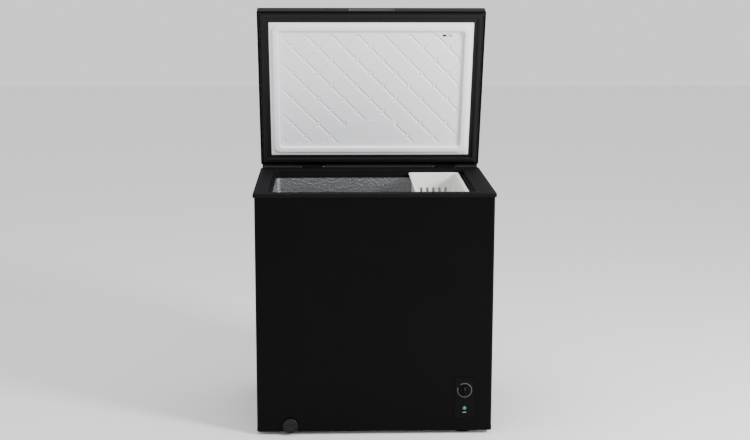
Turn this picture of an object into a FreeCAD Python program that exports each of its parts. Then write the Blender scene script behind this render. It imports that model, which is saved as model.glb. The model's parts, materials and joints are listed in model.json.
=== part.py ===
import FreeCAD, Part
import math
import os

# Chest freezer with a foamed cabinet, a top-hinged lid and a compressor
# compartment at the lower right. Millimetres, +Z up, front towards -Y.
# The origin is on the floor, at the centre of the footprint with the lid open.
# The lid is modelled standing open at LID_OPEN degrees.

os.makedirs("parts", exist_ok=True)
V = FreeCAD.Vector
PAST = 1.0                 # a cutter reaches this far past what it cuts
SAME = 0.01                # places closer than this are the same

# ---- cabinet ----
CABINET_W = 750.0          # across the painted sides
CABINET_D = 554.0          # painted front to rear panel
CABINET_H = 769.0          # lower edge of the shell to the top of the collar
FOOT_H = 12.0              # floor to the lower edge of the shell
SHEET = 1.0                # painted steel sheet
CORNER_R = 10.0            # vertical front corners
BASE_LIFT = 2.0            # base pan above the lower edge of the shell
BASE_T = 1.2
PLATE_T = 2.0              # compressor plate

# ---- collar round the opening ----
COLLAR_OUT = 5.0           # collar beyond the shell, each way
COLLAR_T = 3.0
COLLAR_LIP_H = 11.5
COLLAR_CORNER_R = 12.0
COLLAR_EDGE_R = 1.5
LIP_CLEARANCE = 0.4        # between the collar's lip and the shell
BAND_LEFT = 47.0
BAND_RIGHT = 60.0
BAND_FRONT = 48.0
BAND_REAR = 58.0
OPENING_R = 26.0
SKIRT_T = 2.5
LEDGE_DROP = 14.0          # collar top to the ledge that carries the basket
LEDGE_W = 8.0
SKIRT_LOW_H = 10.0         # skirt below the ledge

# ---- liner, foam and compartment ----
LINER_T = 1.0
LINER_FLOOR = 76.0         # inner floor above the ground
COMP_W = 225.0             # compressor compartment
COMP_H = 240.0
STEP_FOAM = 45.0           # foam over and beside the compartment
SIDE_SLOT_ROWS = 9         # vents in the right side beside the compressor
SIDE_SLOT_D = 55.0
SIDE_SLOT_BRIDGE = 8.0     # metal between the two columns
SIDE_SLOT_LIFT = 50.0      # lowest vent above the base

# ---- coils in the foam ----
COIL_R = 4.0
COIL_RINGS = 6
COIL_PITCH = 64.0
COIL_DROP = 40.0           # liner's top edge to the first ring
COIL_CLEARANCE = 0.4
CONDENSER_R = 2.5
CONDENSER_RUNS = 8
CONDENSER_PITCH = 70.0
CONDENSER_BEND = 12.0
CONDENSER_IN = 60.0        # runs end this far inside the front and the rear
CONDENSER_LIFT = 90.0      # lowest run above the base
RETURN_IN = 45.0           # return run beside the left wall
RETURN_DROP = 40.0         # return run under the compartment's roof

# ---- lid ----
LID_T = 35.0
LID_SHEET = 1.2
LID_CORNER_R = 5.0
LID_EDGE_R = 4.0
LID_GAP = 6.0              # closed lid above the collar
LID_OPEN = 72.0            # degrees from closed
LID_HEM = 7.0
FRAME_T = 3.0
FRAME_UPSTAND = 12.0
FRAME_WALL = 2.0
FRAME_R = 1.0
SLOT = 0.6                 # seam between the lid's visible mouldings
PANEL_SIDE = 38.0          # lid edge to the white panel
PANEL_FRONT = 40.0
PANEL_REAR = 37.0
PANEL_T = 2.0
PANEL_R = 3.0
RING_IN = 10.5             # panel edge to its raised ring
RING_W = 20.5
RING_R = 24.0
RING_REST = 0.5            # closed ring above the collar
FIELD_RISE = 5.0
FIELD_R = 10.0
GASKET_IN = 11.0
GASKET_W = 15.0
GASKET_R = 6.0
GASKET_IN_R = 4.0
GASKET_EDGE_R = 1.5
GASKET_REST = 0.3          # closed gasket above the collar

# ---- handle in the lid's front edge ----
HANDLE_W = 150.0
HANDLE_H = 20.0
HANDLE_DEEP = 14.0
HANDLE_WALL = 2.0
HANDLE_Z = 3.0             # above the lid's lower edge

# ---- hinges ----
HINGE_IN = (174.0, 115.0)  # hinge centres inside the left and right sides
HINGE_NAMES = ("left", "right")
HINGE_W = 80.0
HINGE_H = 110.0
HINGE_SHEET = 2.0
PIVOT_BACK = 8.0           # pivot behind the collar's rear edge
PIVOT_DROP = 1.0           # pivot below the collar's top
PIN_R = 3.0
PIN_FIT = 0.05
PIN_HEAD_R = 4.5
PIN_END = 2.0              # pin beyond each cheek
PIN_END_GAP = 0.2          # head off the cheek
BARREL_R = 6.3
BARREL_W = 30.0
BARREL_FIT = 0.3
CHEEK_DROP = 3.0           # wide part of the cheeks below the collar's lip
SPRING_R = 4.3
SPRING_WIRE_R = 0.6
SPRING_TURNS = 9
SPRING_GAP = 0.5
LEAF_W = 66.0
LEAF_H = 30.0
LEAF_T = 2.0
WEB_LIFT = 2.5             # underside of the leaf's web above the pin's axis
HOOD_W = 74.0              # hood that closes the gap in front of the pin
HOOD_R = 10.4
HOOD_T = 1.5
HOOD_START = 125.0         # degrees round the pin from the rear, lid closed
HOOD_END = 255.0
HOOD_CLEAR = 0.8           # hood to the notch in the collar
STRIP_R = 7.7              # rolled edge of the strips between the hinges
STRIP_T = 1.5
STRIP_START = 150.0
STRIP_END = 255.0
STRIP_LOW = 3.0            # strip's plate above the pin's axis
STRIP_H = 17.0
STRIP_GAP = 1.0             # strip to the hinge channel's cheek
STRIP_INSET = 5.0          # strip inside the lid's ends

# ---- controls on the front, lower right ----
CONTROL_IN = 88.0          # plate centre inside the right side
CONTROL_Z = 121.0          # plate centre above the floor
PLATE_W = 63.0
PLATE_H = 133.0
FACEPLATE_T = 2.5
PLATE_R = 4.0
PLATE_EDGE_R = 0.8
KNOB_Z = 146.0
KNOB_R = 17.5
KNOB_H = 14.0
KNOB_GAP = 0.8
KNOB_SKIRT_T = 4.0
KNOB_DRUM_R = 15.0
KNOB_GRIP = 4.0            # half the thickness of the finger grip
KNOB_GRIP_FOOT = 2.0       # grip starts this far in front of the skirt
KNOB_EDGE_R = 1.0
DIAL_R = 24.0
DIAL_IN_R = 20.0
DIAL_T = 1.2
DIAL_GAP_X = 8.4           # break in the ring, upper left, from its centre
DIAL_GAP_Z = 10.8
SHAFT_R = 3.0
SHAFT_L = 20.0             # shaft inside the thermostat
SHAFT_FIT = 0.08
SHAFT_END = 2.0            # bore beyond the shaft
NECK_R = 4.4
NECK_FIT = 0.1
THERMOSTAT = (44.0, 34.0, 48.0)
THERMOSTAT_BACK = 2.0      # behind the steel
LAMP_Z = 87.0
LAMP_R = 7.5
LAMP_T = 2.0               # straight edge under the dome
LAMP_DOME_R = 9.375
LAMP_STEM_R = 5.0
LAMP_FIT = 0.3
HOLDER_W = 18.0
HOLDER_D = 22.0

# ---- drain ----
DRAIN_IN = 106.0           # drain inside the left side
DRAIN_Z = 32.0
DRAIN_BACK = 92.0          # floor outlet behind the front
DRAIN_OUT_R = 11.0
DRAIN_BORE_R = 8.0
DRAIN_FIT = 0.1
CAP_R = 24.0
CAP_T = 9.0
CAP_GAP = 0.3
CAP_EDGE_R = 1.5
CAP_WALL = 3.0             # cap's rim and the depth of its hollow
CAP_GRIP_IN = 2.0
CAP_GRIP_LOW = 0.5         # grip behind the cap's face
CAP_GRIP_HALF = 3.0
CAP_SPIGOT = 16.0
PLUG_R = 16.0
PLUG_T = 4.0
PLUG_EDGE_R = 1.0
PLUG_STEM = 14.0
PULL_W = 18.0
PULL_D = 4.0
PULL_H = 9.0
PULL_R = 1.5

# ---- feet ----
FOOT_W = 43.0
FOOT_D = 40.0
FOOT_IN = (106.0, 90.0)    # foot centres inside the left and right sides
FOOT_BACK = (34.0, 18.0)   # front feet behind the shell's front
FOOT_REAR = 30.0
FOOT_DRAFT = 3.0

# ---- compressor group ----
RELAY = (30.0, 52.0, 58.0)
RELAY_GAP = 14.5           # compartment wall to the relay cover
RELAY_LIFT = 45.0
RELAY_R = 4.0
MOTOR_GAP = 36.5           # can to the right side
MOTOR_H = 150.0
MOTOR_ROUND = 0.4          # end rounding as a share of the can's radius
MOTOR_SEAM_OUT = 5.0
MOTOR_SEAM_H = 5.0
MOTOR_SEAM_AT = 0.55       # seam's height as a share of the can's
MOTOR_BACK = 150.0         # axis in front of the rear panel
MOTOR_FEET_IN = 49.0       # feet narrower than the compartment, in all
MOTOR_FEET_D = 104.0
MOTOR_FEET_T = 3.0
MOTOR_FEET_R = 12.0
GROMMET_R = 11.0
GROMMET_H = 13.0
BOLT_R = 4.0
BOLT_FIT = 0.1
BOLT_IN = 14.0             # bolt centres inside the feet's edges
BOLT_SHANK = 1.0           # shank showing above the feet
BOLT_HEAD_R = 6.5
BOLT_HEAD_H = 5.0
TUBE_R = 4.0
SUCTION_FRONT = 30.0       # suction tube in front of the can
SUCTION_SIDE = 20.0        # its stub left of the can's axis
SUCTION_AT = 0.75          # its stub's height as a share of the can's
SUCTION_DROP = 18.0
SUCTION_BEND = 12.0
DISCHARGE_SIDE = 30.0
DRIER_R = 9.5
DRIER_H = 96.0
DRIER_ROUND = 0.7          # end rounding as a share of the drier's radius
DRIER_IN = 34.0
DRIER_FRONT = 62.0
DRIER_LIFT = 60.0
CAPILLARY_R = 1.4
CAPILLARY_DROP = 24.0
CAPILLARY_BEND = 8.0

# ---- rear compartment cover ----
COVER_IN = 11.0            # cover narrower than the compartment, in all
COVER_H = 226.0
COVER_LAP = 10.0
COVER_T = 1.5
COVER_BOTTOM = 26.0
SLOT_ROWS = 9
SLOT_MARGIN = 29.0         # slots inside the cover's sides
SLOT_BRIDGE = 16.0         # metal between the two columns
SLOT_DROP = 40.0           # top slot below the cover's top edge
SLOT_H = 5.0
SLOT_PITCH = 17.0
SCREW_R = 2.0
SCREW_HEAD_R = 4.5
SCREW_HEAD_T = 2.2
SCREW_DEEP = 6.0           # screw behind the rear panel
INLET_R = 11.0
INLET_BORE_R = 4.0
INLET_WALL = 3.0
INLET_T = 9.0
INLET_FLANGE_T = 3.6
INLET_DEEP = 4.0           # neck behind the cover
INLET_IN = 34.0            # inlet inside the cover's left edge
INLET_LIFT = 26.0          # inlet above the cover's lower edge

# ---- basket ----
BASKET_W = 172.0
BASKET_SIDE_GAP = 17.0     # rim to the opening's right side
BASKET_GAP = 1.5           # rim to the opening, front and rear
BASKET_REST = 0.3
BASKET_H = 165.0
BASKET_T = 2.2
BASKET_RIM = 9.0
BASKET_R = 12.0
BASKET_SLOT_W = 9.0
BASKET_SLOT_PITCH = 21.0
BASKET_SLOT_H = 40.0
BASKET_SLOT_DROP = 46.0    # rim to the first row of slots
BASKET_SLOT_ROW_GAP = 14.0
BASKET_SLOT_END = 25.0     # solid at each end of the long sides
BASKET_SLOT_END_SHORT = 20.0

# ---- places worked out from the sizes above ----
TOP = FOOT_H + CABINET_H
OPEN = math.radians(LID_OPEN)
CORNER_BACK = (LID_GAP + PIVOT_DROP + LID_T) * math.sin(OPEN) - PIVOT_BACK * math.cos(OPEN)
REACH_BACK = COLLAR_OUT + PIVOT_BACK + CORNER_BACK
REACH_FRONT = max(COLLAR_OUT, FACEPLATE_T + KNOB_GAP + KNOB_H)
FRONT = REACH_FRONT - (REACH_FRONT + CABINET_D + REACH_BACK) / 2
REAR = FRONT + CABINET_D
HALF = CABINET_W / 2
EDGE = HALF + COLLAR_OUT
LID_FRONT = FRONT - COLLAR_OUT
LID_REAR = REAR + COLLAR_OUT
LID_Z = TOP + LID_GAP
LID_TOP = LID_Z + LID_T
PIVOT = V(0, LID_REAR + PIVOT_BACK, TOP - PIVOT_DROP)
IN_X = HALF - SHEET
IN_FRONT = FRONT + SHEET
BASE_Z = FOOT_H + BASE_LIFT
FOAM_Z = BASE_Z + BASE_T
OPEN_LEFT = BAND_LEFT - EDGE
OPEN_RIGHT = EDGE - BAND_RIGHT
OPEN_FRONT = LID_FRONT + BAND_FRONT
OPEN_REAR = LID_REAR - BAND_REAR
LEDGE_Z = TOP - LEDGE_DROP
TUB_IN = LEDGE_W - SKIRT_T        # liner's inner face inside the opening's edge
TUB_TOP = LEDGE_Z - SKIRT_T
TUB_R = OPENING_R - TUB_IN
COMP_X = IN_X - COMP_W
COMP_TOP = FOAM_Z + COMP_H
STEP_X = COMP_X - STEP_FOAM
STEP_TOP = COMP_TOP + STEP_FOAM
COVER_X = COMP_X + COMP_W / 2
COVER_W = COMP_W - COVER_IN
SLOT_W = (COVER_W - 2 * SLOT_MARGIN - SLOT_BRIDGE) / 2
MOTOR_R = (COMP_W - RELAY_GAP - RELAY[0] - MOTOR_GAP) / 2
MOTOR_SEAM_R = MOTOR_R + MOTOR_SEAM_OUT
MOTOR_FEET_W = COMP_W - MOTOR_FEET_IN
MOTOR_X = COMP_X + RELAY_GAP + RELAY[0] + MOTOR_R
MOTOR_Y = REAR - MOTOR_BACK
PLATE_TOP = BASE_Z + PLATE_T
MOTOR_FEET_Z = PLATE_TOP + GROMMET_H
CAN_Z = MOTOR_FEET_Z + MOTOR_FEET_T
RELAY_Z = MOTOR_FEET_Z + RELAY_LIFT
SHELL_TOP = TOP - COLLAR_T
CONTROL_X = HALF - CONTROL_IN
CONTROL_HOLES = [(KNOB_Z, NECK_R + NECK_FIT), (LAMP_Z, LAMP_STEM_R + LAMP_FIT)]
FACEPLATE = FRONT - FACEPLATE_T
THERMOSTAT_Y = IN_FRONT + THERMOSTAT_BACK
DRAIN_X = -HALF + DRAIN_IN
DRAIN_Y = FRONT + DRAIN_BACK
FOOT_X = (-HALF + FOOT_IN[0], HALF - FOOT_IN[1])
HINGE_X = (-HALF + HINGE_IN[0], HALF - HINGE_IN[1])
RING_DROP = LID_GAP - RING_REST
LIP_Z = TOP - COLLAR_LIP_H
OPENING = (OPEN_LEFT, OPEN_RIGHT, OPEN_FRONT, OPEN_REAR)
BASKET_X = OPEN_RIGHT - BASKET_SIDE_GAP
BASKET_Z = LEDGE_Z + BASKET_REST
BASKET = (BASKET_X - BASKET_W, BASKET_X, OPEN_FRONT + BASKET_GAP, OPEN_REAR - BASKET_GAP)
LID = (-EDGE, EDGE, LID_FRONT, LID_REAR)
WHITE = (-EDGE + PANEL_SIDE, EDGE - PANEL_SIDE, LID_FRONT + PANEL_FRONT, LID_REAR - PANEL_REAR)
HANDLE_LOW = LID_Z + HANDLE_Z
COIL_GAP = LINER_T + COIL_R + COIL_CLEARANCE
COIL_TURN_R = TUB_R + COIL_GAP
COIL_Z = [TUB_TOP - COIL_DROP - COIL_R - i * COIL_PITCH for i in range(COIL_RINGS)]
CONDENSER_X = -IN_X + CONDENSER_R + COIL_CLEARANCE
CONDENSER_Y = REAR - SHEET - CONDENSER_R - COIL_CLEARANCE
CONDENSER_FRONT = FRONT + CONDENSER_IN
CONDENSER_BACK = REAR - CONDENSER_IN
CONDENSER_Z = FOAM_Z + CONDENSER_LIFT
CONDENSER_TOP = CONDENSER_Z + (CONDENSER_RUNS - 1) * CONDENSER_PITCH
RETURN_X = -IN_X + RETURN_IN
RETURN_Z = COMP_TOP - RETURN_DROP
SUCTION_Y = MOTOR_Y - MOTOR_R - SUCTION_FRONT
SUCTION_Z = COMP_TOP - SUCTION_DROP
STUB_Z = CAN_Z + MOTOR_H * SUCTION_AT
DRIER_X = COMP_X + DRIER_IN
DRIER_Y = MOTOR_Y - MOTOR_R - DRIER_FRONT
DRIER_Z = PLATE_TOP + DRIER_LIFT


def box(x0, x1, y0, y1, z0, z1):
    return Part.makeBox(x1 - x0, y1 - y0, z1 - z0, V(x0, y0, z0))


def prism(x0, x1, y0, y1, z0, z1, front_r, rear_r=None):
    """Upright block whose front and rear vertical corners have their own radii."""
    rear_r = front_r if rear_r is None else rear_r
    corners = [(x0, y0, front_r), (x1, y0, front_r), (x1, y1, rear_r), (x0, y1, rear_r)]
    turns = [(1, 1), (-1, 1), (-1, -1), (1, -1)]
    edges = []
    starts = []
    ends = []
    for i, (x, y, r) in enumerate(corners):
        sx, sy = turns[i]
        along_y = V(x, y + sy * r, z0)
        along_x = V(x + sx * r, y, z0)
        centre = V(x + sx * r, y + sy * r, z0)
        middle = centre - V(sx, sy, 0) * (r / math.sqrt(2))
        first, last = (along_y, along_x) if i % 2 == 0 else (along_x, along_y)
        starts.append(first)
        ends.append(last)
        if r > 0:
            edges.append(Part.Arc(first, middle, last).toShape())
        edges.append(None)
    wire = []
    corner = 0
    for edge in edges:
        if edge is not None:
            wire.append(edge)
            continue
        a = ends[corner]
        b = starts[(corner + 1) % 4]
        wire.append(Part.makeLine(a, b))
        corner += 1
    return Part.Face(Part.Wire(wire)).extrude(V(0, 0, z1 - z0))


def inset(rect, by):
    x0, x1, y0, y1 = rect
    return x0 + by, x1 - by, y0 + by, y1 - by


def rod(radius, start, end):
    return Part.makeCylinder(radius, (end - start).Length, start, end - start)


def pipe(points, radius, bend):
    """Round tube along straight runs joined by tangent arcs."""
    edges = []
    here = points[0]
    for i in range(1, len(points) - 1):
        corner = points[i]
        back = (points[i - 1] - corner).normalize()
        ahead = (points[i + 1] - corner).normalize()
        angle = back.getAngle(ahead)
        reach = bend / math.tan(angle / 2)
        start = corner + back * reach
        end = corner + ahead * reach
        inward = (back + ahead).normalize()
        middle = corner + inward * (bend / math.sin(angle / 2) - bend)
        edges.append(Part.makeLine(here, start))
        edges.append(Part.Arc(start, middle, end).toShape())
        here = end
    edges.append(Part.makeLine(here, points[-1]))
    path = Part.Wire(edges)
    section = Part.Wire([Part.makeCircle(radius, points[0], points[1] - points[0])])
    return path.makePipeShell([section], True, False)


def on_pin(x):
    return V(x, PIVOT.y, PIVOT.z)


def curl(x0, x1, radius, wall, start, end):
    """Part of a tube round the hinge pins, between two angles measured from the rear."""
    outline = []
    for r, a, b in ((radius, start, end), (radius - wall, end, start)):
        angles = [math.radians(a), math.radians((a + b) / 2), math.radians(b)]
        points = [on_pin(x0) + V(0, r * math.cos(t), r * math.sin(t)) for t in angles]
        outline.append((points, Part.Arc(*points).toShape()))
    (outer, outer_arc), (inner, inner_arc) = outline
    edges = [outer_arc, Part.makeLine(outer[2], inner[0]), inner_arc, Part.makeLine(inner[2], outer[0])]
    return Part.Face(Part.Wire(edges)).extrude(V(x1 - x0, 0, 0))


def join(shapes):
    if len(shapes) == 1:
        return shapes[0]
    return shapes[0].fuse(shapes[1:]).removeSplitter()


def rims(shape, axis, at):
    """Edges whose centre lies at one place along an axis."""
    return [e for e in shape.Edges if abs(getattr(e.CenterOfMass, axis) - at) < SAME]


def save(name, shape):
    shape.exportStep(f"parts/{name}.step")


def opened(shape):
    turned = shape.copy()
    turned.rotate(PIVOT, V(1, 0, 0), -LID_OPEN)
    return turned


# ---- cabinet shell, rear panel and base ----
def cabinet_shell():
    shell = prism(-HALF, HALF, FRONT, REAR, FOOT_H, SHELL_TOP, CORNER_R, 0)
    hollow = prism(-IN_X, IN_X, IN_FRONT, REAR + PAST, FOOT_H - PAST, SHELL_TOP + PAST, CORNER_R - SHEET, 0)
    shell = shell.cut(hollow)
    holes = [(CONTROL_X, z, r) for z, r in CONTROL_HOLES] + [(DRAIN_X, DRAIN_Z, DRAIN_OUT_R)]
    cuts = [rod(r, V(x, FRONT - PAST, z), V(x, IN_FRONT + PAST, z)) for x, z, r in holes]
    half = SIDE_SLOT_BRIDGE / 2
    for row in range(SIDE_SLOT_ROWS):
        z = FOAM_Z + SIDE_SLOT_LIFT + row * SLOT_PITCH
        for y in (MOTOR_Y - SIDE_SLOT_D - half, MOTOR_Y + half):
            cuts.append(box(IN_X - PAST, HALF + PAST, y, y + SIDE_SLOT_D, z, z + SLOT_H))
    return shell.cut(cuts)


def cover_screw_places():
    x = COVER_W / 2 - COVER_LAP / 2
    z = COVER_H - COVER_LAP / 2
    return [(COVER_X + sx * x, COVER_BOTTOM + dz) for dz in (COVER_LAP / 2, z) for sx in (-1, 1)]


def rear_panel():
    panel = box(-IN_X, IN_X, REAR - SHEET, REAR, FOOT_H, SHELL_TOP)
    x = COVER_W / 2 - COVER_LAP
    inner = REAR - SHEET - PAST
    opening = box(COVER_X - x, COVER_X + x, inner, REAR + PAST,
                  COVER_BOTTOM + COVER_LAP, COVER_BOTTOM + COVER_H - COVER_LAP)
    holes = [rod(SCREW_R, V(x, inner, z), V(x, REAR + PAST, z)) for x, z in cover_screw_places()]
    return panel.cut([opening] + holes)


def base_outline(low, high):
    """Everything inside the shell between two heights."""
    return prism(-IN_X, IN_X, IN_FRONT, REAR - SHEET, low, high, CORNER_R - SHEET, 0)


def base_pan():
    return base_outline(BASE_Z, FOAM_Z).common(box(-IN_X, COMP_X, FRONT, REAR, BASE_Z, FOAM_Z))


def motor_bolt_places():
    x = MOTOR_FEET_W / 2 - BOLT_IN
    y = MOTOR_FEET_D / 2 - BOLT_IN
    return [(MOTOR_X + sx * x, MOTOR_Y + sy * y) for sx in (-1, 1) for sy in (-1, 1)]


def compressor_plate():
    plate = base_outline(BASE_Z, PLATE_TOP).common(box(COMP_X, IN_X, FRONT, REAR, BASE_Z, PLATE_TOP))
    return plate.cut([rod(BOLT_R + BOLT_FIT, V(x, y, BASE_Z - PAST), V(x, y, PLATE_TOP + PAST))
                      for x, y in motor_bolt_places()])


def foot(x, y):
    """Moulded foot, tapered towards the floor."""
    outlines = []
    for z, by in ((0, FOOT_DRAFT), (BASE_Z, 0)):
        x0, x1, y0, y1 = inset((x - FOOT_W / 2, x + FOOT_W / 2, y, y + FOOT_D), by)
        corners = [(x0, y0), (x1, y0), (x1, y1), (x0, y1), (x0, y0)]
        outlines.append(Part.makePolygon([V(px, py, z) for px, py in corners]))
    return Part.makeLoft(outlines, True, True)


# ---- collar ----
def top_collar():
    whole = prism(*LID, LIP_Z, TOP, COLLAR_CORNER_R)
    whole = whole.makeFillet(COLLAR_EDGE_R, rims(whole, "z", TOP))
    shell = (-HALF, HALF, FRONT, REAR)
    under = prism(*inset(shell, -LIP_CLEARANCE), LIP_Z - PAST, SHELL_TOP, CORNER_R, 1)
    rim = whole.cut(under)
    skirt = prism(*inset(OPENING, -SKIRT_T), TUB_TOP, SHELL_TOP, OPENING_R + SKIRT_T)
    low = prism(*inset(OPENING, TUB_IN), TUB_TOP - SKIRT_LOW_H, TUB_TOP, TUB_R)
    solid = join([rim, skirt, low])
    solid = solid.cut(prism(*OPENING, LEDGE_Z, TOP + PAST, OPENING_R))
    bottom = TUB_TOP - SKIRT_LOW_H - PAST
    throat = prism(*inset(OPENING, LEDGE_W), bottom, LEDGE_Z + PAST, OPENING_R - LEDGE_W)
    reach = HOOD_W / 2 + HOOD_CLEAR
    notches = [rod(HOOD_R + HOOD_CLEAR, on_pin(x - reach), on_pin(x + reach)) for x in HINGE_X]
    return solid.cut([throat] + notches)


# ---- liner and foam ----
TUB = inset(OPENING, TUB_IN)
COIL_RECT = inset(TUB, -COIL_GAP)


def tub_space(grow, top):
    """The storage space: a deep well at the left and a shelf over the compartment."""
    x0, x1, y0, y1 = inset(TUB, -grow)
    r = TUB_R + grow
    deep = prism(x0, x1, y0, y1, LINER_FLOOR - grow, top, r)
    wall = STEP_X - LINER_T + grow
    shelf = STEP_TOP + LINER_T - grow
    return deep.cut(box(wall, x1 + PAST, y0 - PAST, y1 + PAST, LINER_FLOOR - grow - PAST, shelf))


def drain_bore(radius):
    floor = V(DRAIN_X, DRAIN_Y, LINER_FLOOR - LINER_T)
    turn = V(DRAIN_X, DRAIN_Y, DRAIN_Z)
    outlet = V(DRAIN_X, FRONT, DRAIN_Z)
    return join([rod(radius, turn, floor), Part.makeSphere(radius, turn), rod(radius, outlet, turn)])


def inner_liner():
    liner = tub_space(LINER_T, TUB_TOP).cut(tub_space(0, TUB_TOP + PAST))
    low = LINER_FLOOR - LINER_T - PAST
    hole = rod(DRAIN_BORE_R, V(DRAIN_X, DRAIN_Y, low), V(DRAIN_X, DRAIN_Y, LINER_FLOOR + PAST))
    return liner.cut(hole)


def evaporator_coil():
    x0, x1, y0, y1 = COIL_RECT
    pieces = []
    for i, z in enumerate(COIL_Z):
        corners = [V(x0, y1, z), V(x0, y0, z), V(x1, y0, z), V(x1, y1, z)]
        pieces.append(pipe([V(-COIL_PITCH, y1, z)] + corners + [V(COIL_PITCH, y1, z)], COIL_R, COIL_TURN_R))
        if i:
            x = COIL_PITCH if i % 2 else -COIL_PITCH
            pieces.append(rod(COIL_R, V(x, y1, z), V(x, y1, COIL_Z[i - 1])))
            pieces.append(Part.makeSphere(COIL_R, V(x, y1, z)))
            pieces.append(Part.makeSphere(COIL_R, V(x, y1, COIL_Z[i - 1])))
    return join(pieces)


def coil_grooves():
    half = COIL_R + COIL_CLEARANCE
    cuts = []
    for z in COIL_Z:
        outer = prism(*inset(COIL_RECT, -half), z - half, z + half, COIL_TURN_R + half)
        cuts.append(outer)
    y = COIL_RECT[3]
    for x in (-COIL_PITCH, COIL_PITCH):
        cuts.append(box(x - half, x + half, y - half, y + half, COIL_Z[-1] - half, COIL_Z[0] + half))
    return cuts


def condenser_coil():
    points = [V(COMP_X, CONDENSER_Y, CONDENSER_Z), V(CONDENSER_X, CONDENSER_Y, CONDENSER_Z)]
    for run in range(CONDENSER_RUNS - 1):
        y = CONDENSER_FRONT if run % 2 == 0 else CONDENSER_BACK
        z = CONDENSER_Z + run * CONDENSER_PITCH
        points += [V(CONDENSER_X, y, z), V(CONDENSER_X, y, z + CONDENSER_PITCH)]
    points += [V(CONDENSER_X, CONDENSER_Y, CONDENSER_TOP), V(RETURN_X, CONDENSER_Y, CONDENSER_TOP),
               V(RETURN_X, CONDENSER_Y, RETURN_Z), V(COMP_X, CONDENSER_Y, RETURN_Z)]
    return pipe(points, CONDENSER_R, CONDENSER_BEND)


def condenser_pockets():
    half = CONDENSER_R + COIL_CLEARANCE
    deep = 2 * half
    low = CONDENSER_Z - half
    high = CONDENSER_TOP + half
    rear = REAR - SHEET
    side = box(-IN_X, -IN_X + deep, CONDENSER_FRONT - half, rear, low, high)
    back = box(-IN_X, RETURN_X + CONDENSER_BEND + half, rear - deep, rear, low, high)
    turn = CONDENSER_BEND + half
    corners = [box(-IN_X, -IN_X + turn, rear - turn, rear, z - half, z + half)
               for z in (CONDENSER_Z, CONDENSER_TOP)]
    runs = [box(RETURN_X, COMP_X, rear - deep, rear, z - half, z + half) for z in (CONDENSER_Z, RETURN_Z)]
    return [side, back] + corners + runs


def cabinet_foam():
    foam = base_outline(FOAM_Z, SHELL_TOP)
    above = prism(*inset(OPENING, -SKIRT_T), TUB_TOP, SHELL_TOP + PAST, OPENING_R + SKIRT_T)
    compartment = box(COMP_X, IN_X + PAST, FRONT, REAR, BASE_Z - PAST, COMP_TOP)
    cuts = [tub_space(LINER_T, TUB_TOP + PAST), above, compartment, drain_bore(DRAIN_OUT_R)]
    return foam.cut(cuts + coil_grooves() + condenser_pockets())


# ---- compressor group ----
def compressor_can():
    can = Part.makeCylinder(MOTOR_R, MOTOR_H, V(MOTOR_X, MOTOR_Y, CAN_Z))
    return can.makeFillet(MOTOR_R * MOTOR_ROUND, rims(can, "z", CAN_Z) + rims(can, "z", CAN_Z + MOTOR_H))


def compressor():
    seam = Part.makeCylinder(MOTOR_SEAM_R, MOTOR_SEAM_H, V(MOTOR_X, MOTOR_Y, CAN_Z + MOTOR_H * MOTOR_SEAM_AT))
    x = MOTOR_FEET_W / 2
    y = MOTOR_FEET_D / 2
    top = CAN_Z + BOLT_SHANK
    feet = prism(MOTOR_X - x, MOTOR_X + x, MOTOR_Y - y, MOTOR_Y + y, MOTOR_FEET_Z, top, MOTOR_FEET_R)
    feet = feet.cut([rod(BOLT_R + BOLT_FIT, V(px, py, MOTOR_FEET_Z - PAST), V(px, py, top + PAST))
                     for px, py in motor_bolt_places()])
    return join([compressor_can(), seam, feet])


def grommet(x, y):
    body = Part.makeCylinder(GROMMET_R, GROMMET_H, V(x, y, PLATE_TOP))
    return body.cut(rod(BOLT_R + BOLT_FIT, V(x, y, PLATE_TOP - PAST), V(x, y, MOTOR_FEET_Z + PAST)))


def hexagon(x, y, z, radius, height):
    corners = [V(x + radius * math.cos(math.radians(a)), y + radius * math.sin(math.radians(a)), z)
               for a in range(0, 420, 60)]
    return Part.Face(Part.makePolygon(corners)).extrude(V(0, 0, height))


def motor_bolt(x, y):
    top = CAN_Z + BOLT_SHANK
    return join([rod(BOLT_R, V(x, y, BASE_Z), V(x, y, top)), hexagon(x, y, top, BOLT_HEAD_R, BOLT_HEAD_H)])


def relay_cover():
    x = MOTOR_X - MOTOR_R - RELAY[0]
    half = RELAY[1] / 2
    cover = prism(x, MOTOR_X, MOTOR_Y - half, MOTOR_Y + half, RELAY_Z, RELAY_Z + RELAY[2], RELAY_R)
    core = Part.makeCylinder(MOTOR_SEAM_R, RELAY_LIFT + RELAY[2] + PAST, V(MOTOR_X, MOTOR_Y, MOTOR_FEET_Z))
    return cover.cut(core)


def suction_tube():
    x = MOTOR_X - SUCTION_SIDE
    points = [V(COMP_X, SUCTION_Y, SUCTION_Z), V(x, SUCTION_Y, SUCTION_Z),
              V(x, SUCTION_Y, STUB_Z), V(x, MOTOR_Y, STUB_Z)]
    return pipe(points, TUBE_R, SUCTION_BEND).cut(compressor_can())


def discharge_tube():
    x = MOTOR_X - DISCHARGE_SIDE
    points = [V(COMP_X, CONDENSER_Y, CONDENSER_Z), V(x, CONDENSER_Y, CONDENSER_Z), V(x, MOTOR_Y, CONDENSER_Z)]
    return pipe(points, CONDENSER_R, CONDENSER_BEND).cut(compressor_can())


def filter_drier():
    body = Part.makeCylinder(DRIER_R, DRIER_H, V(DRIER_X, DRIER_Y, DRIER_Z))
    ends = rims(body, "z", DRIER_Z) + rims(body, "z", DRIER_Z + DRIER_H)
    return body.makeFillet(DRIER_R * DRIER_ROUND, ends)


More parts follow.
